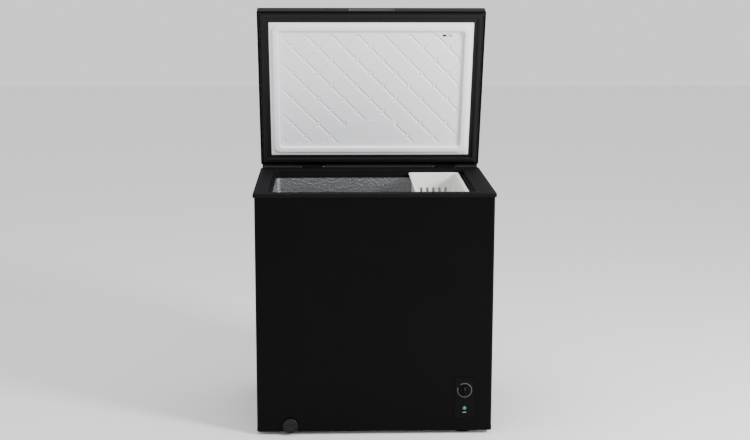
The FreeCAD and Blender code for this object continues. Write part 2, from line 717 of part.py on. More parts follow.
def liquid_tube():
    points = [V(COMP_X, CONDENSER_Y, RETURN_Z), V(DRIER_X, CONDENSER_Y, RETURN_Z),
              V(DRIER_X, DRIER_Y, RETURN_Z), V(DRIER_X, DRIER_Y, DRIER_Z + DRIER_H)]
    return pipe(points, CONDENSER_R, CONDENSER_BEND)


def capillary_tube():
    low = DRIER_Z - CAPILLARY_DROP
    points = [V(DRIER_X, DRIER_Y, DRIER_Z), V(DRIER_X, DRIER_Y, low), V(COMP_X, DRIER_Y, low)]
    return pipe(points, CAPILLARY_R, CAPILLARY_BEND)


# ---- controls ----
def control_panel():
    x = PLATE_W / 2
    z = PLATE_H / 2
    plate = prism(CONTROL_X - x, CONTROL_X + x, CONTROL_Z - z, CONTROL_Z + z, 0, FACEPLATE_T, PLATE_R)
    plate = plate.makeFillet(PLATE_EDGE_R, rims(plate, "z", FACEPLATE_T))
    plate.rotate(V(0, 0, 0), V(1, 0, 0), 90)
    plate.translate(V(0, FRONT, 0))
    return plate.cut([rod(r, V(CONTROL_X, FACEPLATE - PAST, z), V(CONTROL_X, FRONT + PAST, z))
                      for z, r in CONTROL_HOLES])


def dial_ring():
    """Raised ring round the knob, broken at the upper left."""
    a = V(CONTROL_X, FACEPLATE, KNOB_Z)
    b = V(CONTROL_X, FACEPLATE - DIAL_T, KNOB_Z)
    ring = rod(DIAL_R, a, b).cut(rod(DIAL_IN_R, a + V(0, PAST, 0), b - V(0, PAST, 0)))
    gap = box(CONTROL_X - DIAL_R, CONTROL_X - DIAL_GAP_X, FACEPLATE - DIAL_T - PAST, FACEPLATE + PAST,
              KNOB_Z + DIAL_GAP_Z, KNOB_Z + DIAL_R)
    return ring.cut(gap)


def thermostat_knob():
    back = FACEPLATE - KNOB_GAP
    front = back - KNOB_H
    foot = back - KNOB_SKIRT_T
    skirt = rod(KNOB_R, V(CONTROL_X, back, KNOB_Z), V(CONTROL_X, foot, KNOB_Z))
    drum = rod(KNOB_DRUM_R, V(CONTROL_X, foot, KNOB_Z), V(CONTROL_X, front, KNOB_Z))
    drum = drum.makeFillet(KNOB_EDGE_R, rims(drum, "y", front))
    sides = []
    for side in (-1, 1):
        near = CONTROL_X + side * KNOB_GRIP
        far = CONTROL_X + side * KNOB_R
        sides.append(box(min(near, far), max(near, far), front - PAST, foot - KNOB_GRIP_FOOT,
                         KNOB_Z - KNOB_R, KNOB_Z + KNOB_R))
    shaft = rod(SHAFT_R, V(CONTROL_X, back, KNOB_Z), V(CONTROL_X, THERMOSTAT_Y + SHAFT_L, KNOB_Z))
    return join([skirt, drum.cut(sides), shaft])


def thermostat_body():
    w, d, h = THERMOSTAT
    body = box(CONTROL_X - w / 2, CONTROL_X + w / 2, THERMOSTAT_Y, THERMOSTAT_Y + d,
               KNOB_Z - h / 2, KNOB_Z + h / 2)
    neck = rod(NECK_R, V(CONTROL_X, THERMOSTAT_Y, KNOB_Z), V(CONTROL_X, FRONT, KNOB_Z))
    end = THERMOSTAT_Y + SHAFT_L + SHAFT_END
    bore = rod(SHAFT_R + SHAFT_FIT, V(CONTROL_X, FRONT - PAST, KNOB_Z), V(CONTROL_X, end, KNOB_Z))
    return join([body, neck]).cut(bore)


def indicator_lens():
    face = FACEPLATE - LAMP_T
    base = rod(LAMP_R, V(CONTROL_X, FACEPLATE, LAMP_Z), V(CONTROL_X, face, LAMP_Z))
    centre = face + math.sqrt(LAMP_DOME_R ** 2 - LAMP_R ** 2)
    dome = Part.makeSphere(LAMP_DOME_R, V(CONTROL_X, centre, LAMP_Z))
    cap = dome.common(rod(LAMP_DOME_R, V(CONTROL_X, face, LAMP_Z), V(CONTROL_X, face - LAMP_DOME_R, LAMP_Z)))
    stem = rod(LAMP_STEM_R, V(CONTROL_X, FACEPLATE, LAMP_Z), V(CONTROL_X, IN_FRONT, LAMP_Z))
    return join([base, cap, stem])


def lamp_holder():
    half = HOLDER_W / 2
    return box(CONTROL_X - half, CONTROL_X + half, IN_FRONT, IN_FRONT + HOLDER_D,
               LAMP_Z - half, LAMP_Z + half)


# ---- rear compartment cover ----
INLET = V(COVER_X - COVER_W / 2 + INLET_IN, REAR, COVER_BOTTOM + INLET_LIFT)
INLET_NECK_R = INLET_BORE_R + INLET_WALL


def back_of(place, by):
    """A point moved straight back from the rear panel."""
    return place + V(0, by, 0)


def rear_cover():
    half = COVER_W / 2
    cover = box(COVER_X - half, COVER_X + half, REAR, REAR + COVER_T, COVER_BOTTOM, COVER_BOTTOM + COVER_H)
    outer = REAR + COVER_T + PAST
    cuts = [rod(SCREW_R, V(x, REAR - PAST, z), V(x, outer, z)) for x, z in cover_screw_places()]
    for row in range(SLOT_ROWS):
        z = COVER_BOTTOM + COVER_H - SLOT_DROP - row * SLOT_PITCH
        for x in (COVER_X - SLOT_W - SLOT_BRIDGE / 2, COVER_X + SLOT_BRIDGE / 2):
            cuts.append(box(x, x + SLOT_W, REAR - PAST, outer, z, z + SLOT_H))
    cuts.append(rod(INLET_NECK_R, back_of(INLET, -PAST), back_of(INLET, COVER_T + PAST)))
    return cover.cut(cuts)


def cover_screws():
    screws = []
    outer = REAR + COVER_T
    for x, z in cover_screw_places():
        screws.append(rod(SCREW_R, V(x, REAR - SHEET - SCREW_DEEP, z), V(x, outer, z)))
        screws.append(rod(SCREW_HEAD_R, V(x, outer, z), V(x, outer + SCREW_HEAD_T, z)))
    return join(screws)


def cord_inlet():
    flange = rod(INLET_R, back_of(INLET, COVER_T), back_of(INLET, COVER_T + INLET_FLANGE_T))
    neck = rod(INLET_NECK_R, back_of(INLET, -INLET_DEEP), back_of(INLET, COVER_T + INLET_T))
    bore = rod(INLET_BORE_R, back_of(INLET, -INLET_DEEP - PAST), back_of(INLET, COVER_T + INLET_T + PAST))
    return join([flange, neck]).cut(bore)


# ---- drain ----
def drain_tube():
    return drain_bore(DRAIN_OUT_R).cut(drain_bore(DRAIN_BORE_R))


def drain_cap():
    back = FRONT - CAP_GAP
    face = back - CAP_T
    disc = rod(CAP_R, V(DRAIN_X, back, DRAIN_Z), V(DRAIN_X, face, DRAIN_Z))
    disc = disc.makeFillet(CAP_EDGE_R, rims(disc, "y", face))
    hollow = rod(CAP_R - CAP_WALL, V(DRAIN_X, face - PAST, DRAIN_Z), V(DRAIN_X, face + CAP_WALL, DRAIN_Z))
    half = CAP_R - CAP_GRIP_IN
    grip = box(DRAIN_X - half, DRAIN_X + half, face + CAP_GRIP_LOW, back - CAP_GRIP_IN,
               DRAIN_Z - CAP_GRIP_HALF, DRAIN_Z + CAP_GRIP_HALF)
    spigot = rod(DRAIN_BORE_R - DRAIN_FIT, V(DRAIN_X, back, DRAIN_Z), V(DRAIN_X, back + CAP_SPIGOT, DRAIN_Z))
    return join([disc.cut(hollow), grip, spigot])


def drain_plug():
    z = LINER_FLOOR + CAP_GAP
    top = z + PLUG_T
    disc = Part.makeCylinder(PLUG_R, PLUG_T, V(DRAIN_X, DRAIN_Y, z))
    disc = disc.makeFillet(PLUG_EDGE_R, rims(disc, "z", top))
    stem = Part.makeCylinder(DRAIN_BORE_R - DRAIN_FIT, PLUG_STEM, V(DRAIN_X, DRAIN_Y, z - PLUG_STEM))
    pull = prism(DRAIN_X - PULL_W / 2, DRAIN_X + PULL_W / 2, DRAIN_Y - PULL_D / 2, DRAIN_Y + PULL_D / 2,
                 top, top + PULL_H, PULL_R)
    return join([disc, stem, pull])


# ---- hinges ----
def hinge_base(x):
    """Steel channel on the rear panel whose cheeks carry the pin."""
    half = HINGE_W / 2
    low = PIVOT.z - HINGE_H
    lip = LIP_Z - CHEEK_DROP
    outer = PIVOT.y + BARREL_R
    pieces = [box(x - half, x + half, REAR, REAR + HINGE_SHEET, low, lip)]
    for x0 in (x - half, x + half - HINGE_SHEET):
        x1 = x0 + HINGE_SHEET
        pieces.append(box(x0, x1, REAR, outer, low, lip))
        pieces.append(box(x0, x1, PIVOT.y - BARREL_R, outer, lip, PIVOT.z))
        pieces.append(rod(BARREL_R, on_pin(x0), on_pin(x1)))
    return join(pieces).cut(rod(PIN_R + PIN_FIT, on_pin(x - half - PAST), on_pin(x + half + PAST)))


def hinge_pin(x):
    half = HINGE_W / 2
    end = half + PIN_END
    pin = rod(PIN_R, on_pin(x - end), on_pin(x + end))
    heads = [rod(PIN_HEAD_R, on_pin(x + side * (half + PIN_END_GAP)), on_pin(x + side * end))
             for side in (-1, 1)]
    return join([pin] + heads)


def hinge_leaf(x):
    """Leaf on the lid's rear face, with the barrel that turns on the pin."""
    left = x - BARREL_W / 2
    right = x + BARREL_W / 2
    barrel = rod(BARREL_R - BARREL_FIT, on_pin(left), on_pin(right))
    web = box(left, right, LID_REAR, PIVOT.y, PIVOT.z + WEB_LIFT, LID_Z + LEAF_T)
    plate = box(x - LEAF_W / 2, x + LEAF_W / 2, LID_REAR, LID_REAR + LEAF_T, LID_Z, LID_Z + LEAF_H)
    bore = rod(PIN_R + PIN_FIT, on_pin(left - PAST), on_pin(right + PAST))
    hood = curl(x - HOOD_W / 2, x + HOOD_W / 2, HOOD_R, HOOD_T, HOOD_START, HOOD_END)
    return join([barrel, web, plate, hood]).cut(bore)


def strip_spans():
    """Stretches of the lid's rear edge between and beside the hinges."""
    reach = HINGE_W / 2 + STRIP_GAP
    left, right = HINGE_X
    end = EDGE - STRIP_INSET
    return [(-end, left - reach), (left + reach, right - reach), (right + reach, end)]


def lid_strip(x0, x1):
    """Plastic strip on the lid's rear face, rolled under round the line of the pins."""
    z = PIVOT.z + STRIP_LOW
    plate = box(x0, x1, LID_REAR, LID_REAR + STRIP_T, z, z + STRIP_H)
    return join([plate, curl(x0, x1, STRIP_R, STRIP_T, STRIP_START, STRIP_END)])


def hinge_spring(x):
    """Torsion spring round the pin, beside the barrel."""
    start = x + BARREL_W / 2 + SPRING_WIRE_R + SPRING_GAP
    end = x + HINGE_W / 2 - HINGE_SHEET - SPRING_WIRE_R
    pitch = (end - start) / SPRING_TURNS
    helix = Part.makeHelix(pitch, pitch * SPRING_TURNS, SPRING_R)
    section = Part.Wire([Part.makeCircle(SPRING_WIRE_R, V(SPRING_R, 0, 0), V(0, 1, 0))])
    coil = Part.Wire(helix.Edges).makePipeShell([section], True, True)
    coil.rotate(V(0, 0, 0), V(0, 1, 0), 90)
    coil.translate(on_pin(start))
    return coil


# ---- lid, drawn closed and then turned open ----
FRAME = inset(LID, LID_HEM + SLOT)
RING = inset(WHITE, RING_IN)
FIELD = inset(RING, RING_W)
RING_Z = LID_Z - RING_DROP
FIELD_Z = LID_Z + FIELD_RISE


def handle_space(deep):
    half = HANDLE_W / 2
    return box(-half, half, LID_FRONT - PAST, LID_FRONT + deep, HANDLE_LOW, HANDLE_LOW + HANDLE_H)


def lid_skin():
    """Painted steel pan with a hem turned in under its edge."""
    whole = prism(*LID, LID_Z, LID_TOP, LID_CORNER_R)
    whole = whole.makeFillet(LID_EDGE_R, rims(whole, "z", LID_TOP))
    hollow = prism(*inset(LID, LID_SHEET), LID_Z + LID_SHEET, LID_TOP - LID_SHEET, LID_CORNER_R - LID_SHEET)
    mouth = prism(*inset(LID, LID_HEM), LID_Z - PAST, LID_Z + 2 * LID_SHEET, FRAME_R)
    return whole.cut([hollow, mouth, handle_space(LID_SHEET + PAST)])


def lid_frame():
    plate = prism(*FRAME, LID_Z, LID_Z + FRAME_T, FRAME_R)
    inside = inset(FRAME, FRAME_WALL)
    upstand = prism(*FRAME, LID_Z, LID_Z + FRAME_UPSTAND, FRAME_R)
    upstand = upstand.cut(prism(*inside, LID_Z - PAST, LID_Z + FRAME_UPSTAND + PAST, FRAME_R / 2))
    window = prism(*inset(WHITE, -SLOT), LID_Z - PAST, LID_TOP, PANEL_R)
    return join([plate, upstand]).cut([window, handle_space(HANDLE_DEEP)])


def lid_liner():
    """Formed plastic panel: a flange, a raised ring and a recessed field."""
    flange = prism(*WHITE, LID_Z, LID_Z + PANEL_T, PANEL_R)
    top = FIELD_Z + PANEL_T
    solid = join([flange, prism(*RING, RING_Z, top, RING_R)])
    recess = prism(*FIELD, RING_Z - PAST, FIELD_Z, FIELD_R)
    hollow = prism(*inset(RING, PANEL_T), RING_Z + PANEL_T, top + PAST, RING_R - PANEL_T)
    hollow = hollow.cut(prism(*inset(FIELD, -PANEL_T), RING_Z, top + 2 * PAST, FIELD_R + PANEL_T))
    trim = prism(*inset(RING, -PAST), LID_Z + PANEL_T, top + PAST, RING_R + PAST)
    trim = trim.cut(prism(*inset(RING, PANEL_T), LID_Z, top + 2 * PAST, RING_R - PANEL_T))
    return solid.cut([recess, hollow, trim])


def lid_foam():
    main = prism(*inset(LID, LID_SHEET), LID_Z + FRAME_T, LID_TOP - LID_SHEET, LID_CORNER_R - LID_SHEET)
    low = prism(*WHITE, LID_Z + PANEL_T, LID_Z + FRAME_T, PANEL_R)
    ring = prism(*inset(RING, PANEL_T), RING_Z + PANEL_T, LID_Z + PANEL_T, RING_R - PANEL_T)
    solid = join([main, low, ring])
    solid = solid.cut(prism(*inset(FIELD, -PANEL_T), RING_Z, FIELD_Z + PANEL_T, FIELD_R + PANEL_T))
    return solid.cut([lid_frame(), handle_space(HANDLE_DEEP)])


def lid_gasket():
    outside = inset(LID, GASKET_IN)
    low = TOP + GASKET_REST
    outer = prism(*outside, low, LID_Z, GASKET_R)
    ring = outer.cut(prism(*inset(outside, GASKET_W), low - PAST, LID_Z + PAST, GASKET_IN_R))
    return ring.makeFillet(GASKET_EDGE_R, rims(ring, "z", low))


def lid_handle():
    outer = handle_space(HANDLE_DEEP).common(box(-EDGE, EDGE, LID_FRONT, REAR, LID_Z, LID_TOP))
    half = HANDLE_W / 2 - HANDLE_WALL
    pocket = box(-half, half, LID_FRONT - PAST, LID_FRONT + HANDLE_DEEP - HANDLE_WALL,
                 HANDLE_LOW + HANDLE_WALL, HANDLE_LOW + HANDLE_H - HANDLE_WALL)
    return outer.cut(pocket)


# ---- basket ----
def slot_places(low, high, end):
    """Starts of the slots spread evenly about the middle of a side."""
    count = int((high - low - 2 * end) / BASKET_SLOT_PITCH)
    first = (low + high - (count - 1) * BASKET_SLOT_PITCH - BASKET_SLOT_W) / 2
    return [first + i * BASKET_SLOT_PITCH for i in range(count)]


def basket():
    wall = inset(BASKET, BASKET_RIM)
    floor = BASKET_Z + BASKET_T - BASKET_H
    rim = prism(*BASKET, BASKET_Z, BASKET_Z + BASKET_T, BASKET_R)
    tub = prism(*wall, floor, BASKET_Z, BASKET_R)
    inner = prism(*inset(wall, BASKET_T), floor + BASKET_T, BASKET_Z + BASKET_T + PAST, BASKET_R - BASKET_T)
    x0, x1, y0, y1 = wall
    first = BASKET_Z - BASKET_SLOT_DROP - BASKET_SLOT_H
    cuts = [inner]
    for z in (first, first - BASKET_SLOT_ROW_GAP - BASKET_SLOT_H):
        for y in slot_places(y0, y1, BASKET_SLOT_END):
            cuts.append(box(x0 - PAST, x1 + PAST, y, y + BASKET_SLOT_W, z, z + BASKET_SLOT_H))
        for x in slot_places(x0, x1, BASKET_SLOT_END_SHORT):
            cuts.append(box(x, x + BASKET_SLOT_W, y0 - PAST, y1 + PAST, z, z + BASKET_SLOT_H))
    return join([rim, tub]).cut(cuts)


save("cabinet_shell", cabinet_shell())
save("rear_panel", rear_panel())
save("base_pan", base_pan())
save("compressor_plate", compressor_plate())
save("top_collar", top_collar())
save("inner_liner", inner_liner())
save("cabinet_foam", cabinet_foam())
save("evaporator_coil", evaporator_coil())
save("condenser_coil", condenser_coil())
save("compressor", compressor())
for i, (x, y) in enumerate(motor_bolt_places(), 1):
    save(f"compressor_grommet_{i}", grommet(x, y))
    save(f"compressor_bolt_{i}", motor_bolt(x, y))
save("relay_cover", relay_cover())
save("suction_tube", suction_tube())
save("discharge_tube", discharge_tube())
save("filter_drier", filter_drier())
save("liquid_tube", liquid_tube())
save("capillary_tube", capillary_tube())
save("control_panel", control_panel())
save("dial_ring", dial_ring())
save("thermostat_knob", thermostat_knob())
save("thermostat_body", thermostat_body())
save("indicator_lens", indicator_lens())
save("lamp_holder", lamp_holder())
save("rear_cover", rear_cover())
save("cover_screws", cover_screws())
save("cord_inlet", cord_inlet())
save("drain_tube", drain_tube())
save("drain_cap", drain_cap())
save("drain_plug", drain_plug())
foot_rows = [[FRONT + back, REAR - FOOT_REAR - FOOT_D] for back in FOOT_BACK]
for side, x, rows in zip(("left", "right"), FOOT_X, foot_rows):
    for row, y in zip(("front", "rear"), rows):
        save(f"foot_{row}_{side}", foot(x, y))
for name, x in zip(HINGE_NAMES, HINGE_X):
    save(f"hinge_base_{name}", hinge_base(x))
    save(f"hinge_pin_{name}", hinge_pin(x))
    save(f"hinge_spring_{name}", hinge_spring(x))
    save(f"hinge_leaf_{name}", opened(hinge_leaf(x)))
save("lid_skin", opened(lid_skin()))
save("lid_frame", opened(lid_frame()))
save("lid_liner", opened(lid_liner()))
save("lid_foam", opened(lid_foam()))
save("lid_gasket", opened(lid_gasket()))
save("lid_handle", opened(lid_handle()))
for name, span in zip(("left", "middle", "right"), strip_spans()):
    save(f"lid_strip_{name}", opened(lid_strip(*span)))
save("basket", basket())
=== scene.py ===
import json
import math

import bmesh
import bpy
from mathutils import Matrix, Vector


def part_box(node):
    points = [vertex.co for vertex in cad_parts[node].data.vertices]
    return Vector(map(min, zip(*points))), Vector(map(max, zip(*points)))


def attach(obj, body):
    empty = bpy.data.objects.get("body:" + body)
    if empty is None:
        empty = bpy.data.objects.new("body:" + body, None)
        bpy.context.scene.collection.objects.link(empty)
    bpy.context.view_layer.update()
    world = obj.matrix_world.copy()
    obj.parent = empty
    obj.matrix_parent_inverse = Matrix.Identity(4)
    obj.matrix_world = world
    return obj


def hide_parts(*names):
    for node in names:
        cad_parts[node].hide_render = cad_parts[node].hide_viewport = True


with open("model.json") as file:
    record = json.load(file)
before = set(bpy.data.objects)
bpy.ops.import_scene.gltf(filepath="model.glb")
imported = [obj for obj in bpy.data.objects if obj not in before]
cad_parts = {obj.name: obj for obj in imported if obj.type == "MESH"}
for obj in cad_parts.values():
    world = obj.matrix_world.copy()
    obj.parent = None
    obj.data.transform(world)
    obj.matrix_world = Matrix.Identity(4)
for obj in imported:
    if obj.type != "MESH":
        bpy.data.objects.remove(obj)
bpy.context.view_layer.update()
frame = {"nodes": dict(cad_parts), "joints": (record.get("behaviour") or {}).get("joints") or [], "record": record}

# A black chest freezer standing open: painted steel cabinet, charcoal collar,
# embossed aluminium well, white basket, and a lid with a quilted white panel.

MM = 0.001
MERGE = 1e-6
TINY_R = 1e-4


# ---------------------------------------------------------------- places

def rect_of(low, high):
    return low.x, high.x, low.y, high.y


def inset(rect, by):
    x0, x1, y0, y1 = rect
    return x0 + by, x1 - by, y0 + by, y1 - by


lid_joint = next(j for j in frame["joints"] if j["name"] == "lid_hinge")
PIVOT = Vector(lid_joint["pos_m"])
OPEN_ANGLE = -math.radians(lid_joint["range_deg"][0])
LID_TURN = (Matrix.Translation(PIVOT) @ Matrix.Rotation(OPEN_ANGLE, 4, Vector(lid_joint["axis"]))
            @ Matrix.Translation(-PIVOT))
LID_BACK = LID_TURN.inverted()


def closed_box(name):
    """Corners of one of the lid's nodes with the lid shut, where its faces are level."""
    points = [LID_BACK @ v.co for v in frame["nodes"][name].data.vertices]
    low = Vector([min(p[i] for p in points) for i in range(3)])
    high = Vector([max(p[i] for p in points) for i in range(3)])
    return low, high


shell_low, shell_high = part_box("cabinet_shell")
collar_low, collar_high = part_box("top_collar")
basket_low, basket_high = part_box("basket")
plate_low, plate_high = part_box("control_panel")
knob_low, knob_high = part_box("thermostat_knob")
lens_low, lens_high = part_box("indicator_lens")
cap_low, cap_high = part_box("drain_cap")
lid_low, lid_high = closed_box("lid_skin")
panel_low, panel_high = closed_box("lid_liner")
gasket_low, gasket_high = closed_box("lid_gasket")


# ---------------------------------------------------------------- materials

def linear(code):
    """sRGB hex to linear RGBA."""
    values = [int(code[i:i + 2], 16) / 255 for i in (1, 3, 5)]
    return [v / 12.92 if v <= 0.04045 else ((v + 0.055) / 1.055) ** 2.4 for v in values] + [1.0]


def node(tree, kind, inputs=None, **settings):
    """Adds a node, sets its properties, and fills or links its inputs.

    A node given as an input is linked from its first output.
    """
    made = tree.nodes.new(kind)
    for name, value in settings.items():
        setattr(made, name, value)
    for name, value in (inputs or {}).items():
        if isinstance(value, bpy.types.Node):
            tree.links.new(value.outputs[0], made.inputs[name])
        elif isinstance(value, bpy.types.NodeSocket):
            tree.links.new(value, made.inputs[name])
        else:
            made.inputs[name].default_value = value
    return made


NOISE = "ShaderNodeTexNoise"
CELLS = "ShaderNodeTexVoronoi"
RAMP = "ShaderNodeValToRGB"
SPREAD = "ShaderNodeMapRange"
BUMP = "ShaderNodeBump"
MATH = "ShaderNodeMath"
COMBINE = "ShaderNodeCombineXYZ"


def blank(name):
    """A new material with an empty tree, and the object's own coordinates in it."""
    material = bpy.data.materials.new(name)
    material.use_nodes = True
    tree = material.node_tree
    tree.nodes.clear()
    return material, tree, node(tree, "ShaderNodeTexCoord").outputs["Object"]


def coat(tree, sockets):
    """Ends the tree in one shader. Constants sit on its own sockets."""
    shader = node(tree, "ShaderNodeBsdfPrincipled", sockets)
    node(tree, "ShaderNodeOutputMaterial", {"Surface": shader})


def per_metre(size_mm):
    """Texture scale that gives features of this size on Object coordinates."""
    return 1000 / size_mm


def graded(ramp, colours):
    """Gives a colour ramp evenly spaced stops."""
    stops = ramp.color_ramp.elements
    for i, colour in enumerate(colours):
        at = i / (len(colours) - 1)
        stop = stops[i] if i < 2 else stops.new(at)
        stop.position = at
        stop.color = linear(colour)
    return ramp


def black_enamel():
    """Baked black enamel on steel sheet: even satin gloss, faint orange peel and hand smears."""
    material, tree, place = blank("black_enamel_on_steel")
    peel = node(tree, NOISE, {"Vector": place, "Scale": per_metre(5.0), "Detail": 1.0})
    smears = node(tree, NOISE, {"Vector": place, "Scale": per_metre(140.0), "Detail": 5.0})
    coat(tree, {
        "Base Color": graded(node(tree, RAMP, {"Fac": smears}), ["#050506", "#080809"]),
        "Roughness": node(tree, SPREAD, {"Value": smears, "To Min": 0.28, "To Max": 0.40}),
        "Normal": node(tree, BUMP, {"Height": peel, "Distance": 0.05 * MM, "Strength": 0.35}),
        "Specular IOR Level": 0.05,
    })
    return material


def moulded_plastic(name, colours, low, high, grain_mm=1.6, depth_mm=0.05, specular=0.5):
    """Injection-moulded plastic: fine spark-eroded grain and a patchy sheen.

    The grain is drawn coarse enough to show.
    """
    material, tree, place = blank(name)
    grain = node(tree, NOISE, {"Vector": place, "Scale": per_metre(grain_mm), "Detail": 2.0})
    patches = node(tree, NOISE, {"Vector": place, "Scale": per_metre(60.0), "Detail": 4.0})
    coat(tree, {
        "Base Color": graded(node(tree, RAMP, {"Fac": patches}), colours),
        "Roughness": node(tree, SPREAD, {"Value": patches, "To Min": low, "To Max": high}),
        "Normal": node(tree, BUMP, {"Height": grain, "Distance": depth_mm * MM, "Strength": 0.6}),
        "Specular IOR Level": specular,
    })
    return material


def stucco_aluminium():
    """Stucco-embossed aluminium sheet: pebbles of about 6 mm, glossier on the crests and duller in the hollows.
    Its colour is painted lighter on the crests and darker in the hollows: painted highlight and painted shade.
    """
    material, tree, place = blank("stucco_aluminium")
    wander = node(tree, NOISE, {"Vector": place, "Scale": per_metre(9.0), "Detail": 2.0})
    offset = node(tree, "ShaderNodeVectorMath", {0: wander.outputs["Color"], "Scale": 3 * MM},
                  operation="SCALE")
    nudged = node(tree, "ShaderNodeVectorMath", {0: place, 1: offset}, operation="ADD")
    pebbles = node(tree, CELLS, {"Vector": nudged, "Scale": per_metre(6.0)}, feature="SMOOTH_F1")
    coat(tree, {
        # The colour ramp follows the pebbles: painted highlight on the crests and painted shade in the hollows.
        "Base Color": graded(node(tree, RAMP, {"Fac": pebbles}), ["#bcbec1", "#a6a8ab", "#8b8d90"]),
        "Roughness": node(tree, SPREAD, {"Value": pebbles, "To Min": 0.3, "To Max": 0.48}),
        "Normal": node(tree, BUMP, {"Height": pebbles, "Distance": -0.9 * MM, "Strength": 1.0}),
        "Metallic": 1.0,
    })
    return material


def brushed_zinc(name, colours):
    """Zinc-coated sheet steel: soft spangle patches and fine rolling marks."""
    material, tree, place = blank(name)
    spangle = node(tree, CELLS, {"Vector": place, "Scale": per_metre(14.0)}).outputs["Color"]
    patch = node(tree, "ShaderNodeSeparateColor", {"Color": spangle})
    rolling = node(tree, NOISE, {"Vector": place, "Scale": per_metre(2.0), "Detail": 3.0})
    coat(tree, {
        "Base Color": graded(node(tree, RAMP, {"Fac": patch}), colours),
        "Roughness": node(tree, SPREAD, {"Value": patch, "To Min": 0.34, "To Max": 0.5}),
        "Normal": node(tree, BUMP, {"Height": rolling, "Distance": 0.03 * MM, "Strength": 1.0}),
        "Metallic": 1.0,
    })
    return material


def drawn_metal(name, colours, roughness):
    """Drawn tube, turned pins and plated screws: even metal with slight tarnish."""
    material, tree, place = blank(name)
    tarnish = node(tree, NOISE, {"Vector": place, "Scale": per_metre(18.0), "Detail": 4.0})
    low, high = roughness - 0.06, roughness + 0.12
    coat(tree, {
        "Base Color": graded(node(tree, RAMP, {"Fac": tarnish}), colours),
        "Roughness": node(tree, SPREAD, {"Value": tarnish, "To Min": low, "To Max": high}),
        "Metallic": 1.0,
    })
    return material


def moulded_rubber():
    """Soft black TPE: dull, with a dusty bloom."""
    material, tree, place = blank("black_soft_tpe")
    bloom = node(tree, NOISE, {"Vector": place, "Scale": per_metre(25.0), "Detail": 4.0})
    grain = node(tree, NOISE, {"Vector": place, "Scale": per_metre(1.4), "Detail": 3.0})
    coat(tree, {
        "Base Color": graded(node(tree, RAMP, {"Fac": bloom}), ["#0c0c0d", "#131314"]),
        "Roughness": node(tree, SPREAD, {"Value": bloom, "To Min": 0.5, "To Max": 0.7}),
        "Normal": node(tree, BUMP, {"Height": grain, "Distance": 0.04 * MM, "Strength": 1.0}),
        "Specular IOR Level": 0.2,
    })
    return material


def poured_foam():
    """Polyurethane foam: matt cream with small open cells. Its colour is painted darker in each cell's hollow and
    lighter on the cell walls: painted shade.
    """
    material, tree, place = blank("poured_polyurethane_foam")
    cells = node(tree, CELLS, {"Vector": place, "Scale": per_metre(3.0)})
    coat(tree, {
        # Colour follows the cell depth: painted shade in the hollows.
        "Base Color": graded(node(tree, RAMP, {"Fac": cells}), ["#c9b788", "#dccda2"]),
        "Normal": node(tree, BUMP, {"Height": cells, "Distance": 0.5 * MM, "Strength": 1.0}),
        "Roughness": 0.9,
    })
    return material


def green_lens():
    """Green polycarbonate lamp lens, faintly lit from behind."""
    material, tree, place = blank("green_polycarbonate_lens")
    rings = node(tree, NOISE, {"Vector": place, "Scale": per_metre(4.0)})
    coat(tree, {
        "Base Color": graded(node(tree, RAMP, {"Fac": rings}), ["#1a6030", "#2f8f4c"]),
        "Roughness": 0.24, "Emission Color": linear("#37a858"), "Emission Strength": 0.1,
    })
    return material


def pale_floor():
    """Matt studio floor."""
    material, tree, _ = blank("pale_floor")
    coat(tree, {"Base Color": linear("#f1f1f0"), "Roughness": 0.85})
    return material


ENAMEL = black_enamel()
CHARCOAL = moulded_plastic("charcoal_abs", ["#101012", "#151517"], 0.6, 0.72, specular=0.02)
BLACK = moulded_plastic("black_abs", ["#0e0e0f", "#131314"], 0.38, 0.52, specular=0.22)
FACEPLATE = moulded_plastic("satin_black_faceplate_abs", ["#060607", "#09090a"], 0.34, 0.44,
                            depth_mm=0.01, specular=0.06)
FRAME_BLACK = moulded_plastic("black_pvc_frame", ["#101011", "#151516"], 0.4, 0.5, specular=0.22)
# The handle pocket's grey is lighter than the black lid frame: painted light, standing for light from above on the
# open lid's upturned front edge.
HANDLE_GREY_PAINTED_LIGHT = moulded_plastic("handle_abs_grey_painted_light", ["#47433f", "#524e4a"], 0.38, 0.48)
WHITE = moulded_plastic("white_polystyrene", ["#f1f2f7", "#f4f5f9"], 0.3, 0.42, 3.0, 0.03)
BASKET_WHITE = moulded_plastic("white_polypropylene", ["#dddcd8", "#e6e5e2"], 0.35, 0.48, 2.0, 0.04)
DIAL_GREY = moulded_plastic("grey_abs", ["#434345", "#505052"], 0.4, 0.5, specular=0.2)
MARK_GREY = moulded_plastic("dark_grey_ink", ["#2a2a2b", "#323233"], 0.45, 0.55, specular=0.1)
PIPE_GREY = moulded_plastic("grey_pvc", ["#b4b6b8", "#c0c2c4"], 0.45, 0.55)
STUCCO = stucco_aluminium()
ZINC = brushed_zinc("zinc_coated_steel", ["#8d9093", "#a3a6a9"])
BRIGHT = drawn_metal("plated_steel", ["#a8a9ab", "#c2c3c5"], 0.3)
COPPER = drawn_metal("drawn_copper", ["#a8603f", "#c67d58"], 0.32)
COIL = drawn_metal("drawn_aluminium", ["#9b9da0", "#b1b3b5"], 0.4)
RUBBER = moulded_rubber()
FOAM = poured_foam()
LENS = green_lens()

SLOT_FINISH = {
    "black_steel": ENAMEL, "charcoal_plastic": CHARCOAL, "black_plastic": BLACK, "white_plastic": WHITE,
    "gasket_rubber": RUBBER, "stucco_aluminium": STUCCO, "zinc_steel": ZINC, "bright_steel": BRIGHT,
    "copper": COPPER, "coil_metal": COIL, "compressor_paint": ENAMEL, "foam": FOAM, "dial_grey": DIAL_GREY,
    "lamp_green": LENS, "drain_plastic": PIPE_GREY,
}


def finish_cad_nodes():
    for part in frame["record"]["subparts"]:
        slots = frame["nodes"][part["node"]].data.materials
        slots.clear()
        slots.append(SLOT_FINISH[part["material_slot"]])


# ---------------------------------------------------------------- mesh helpers

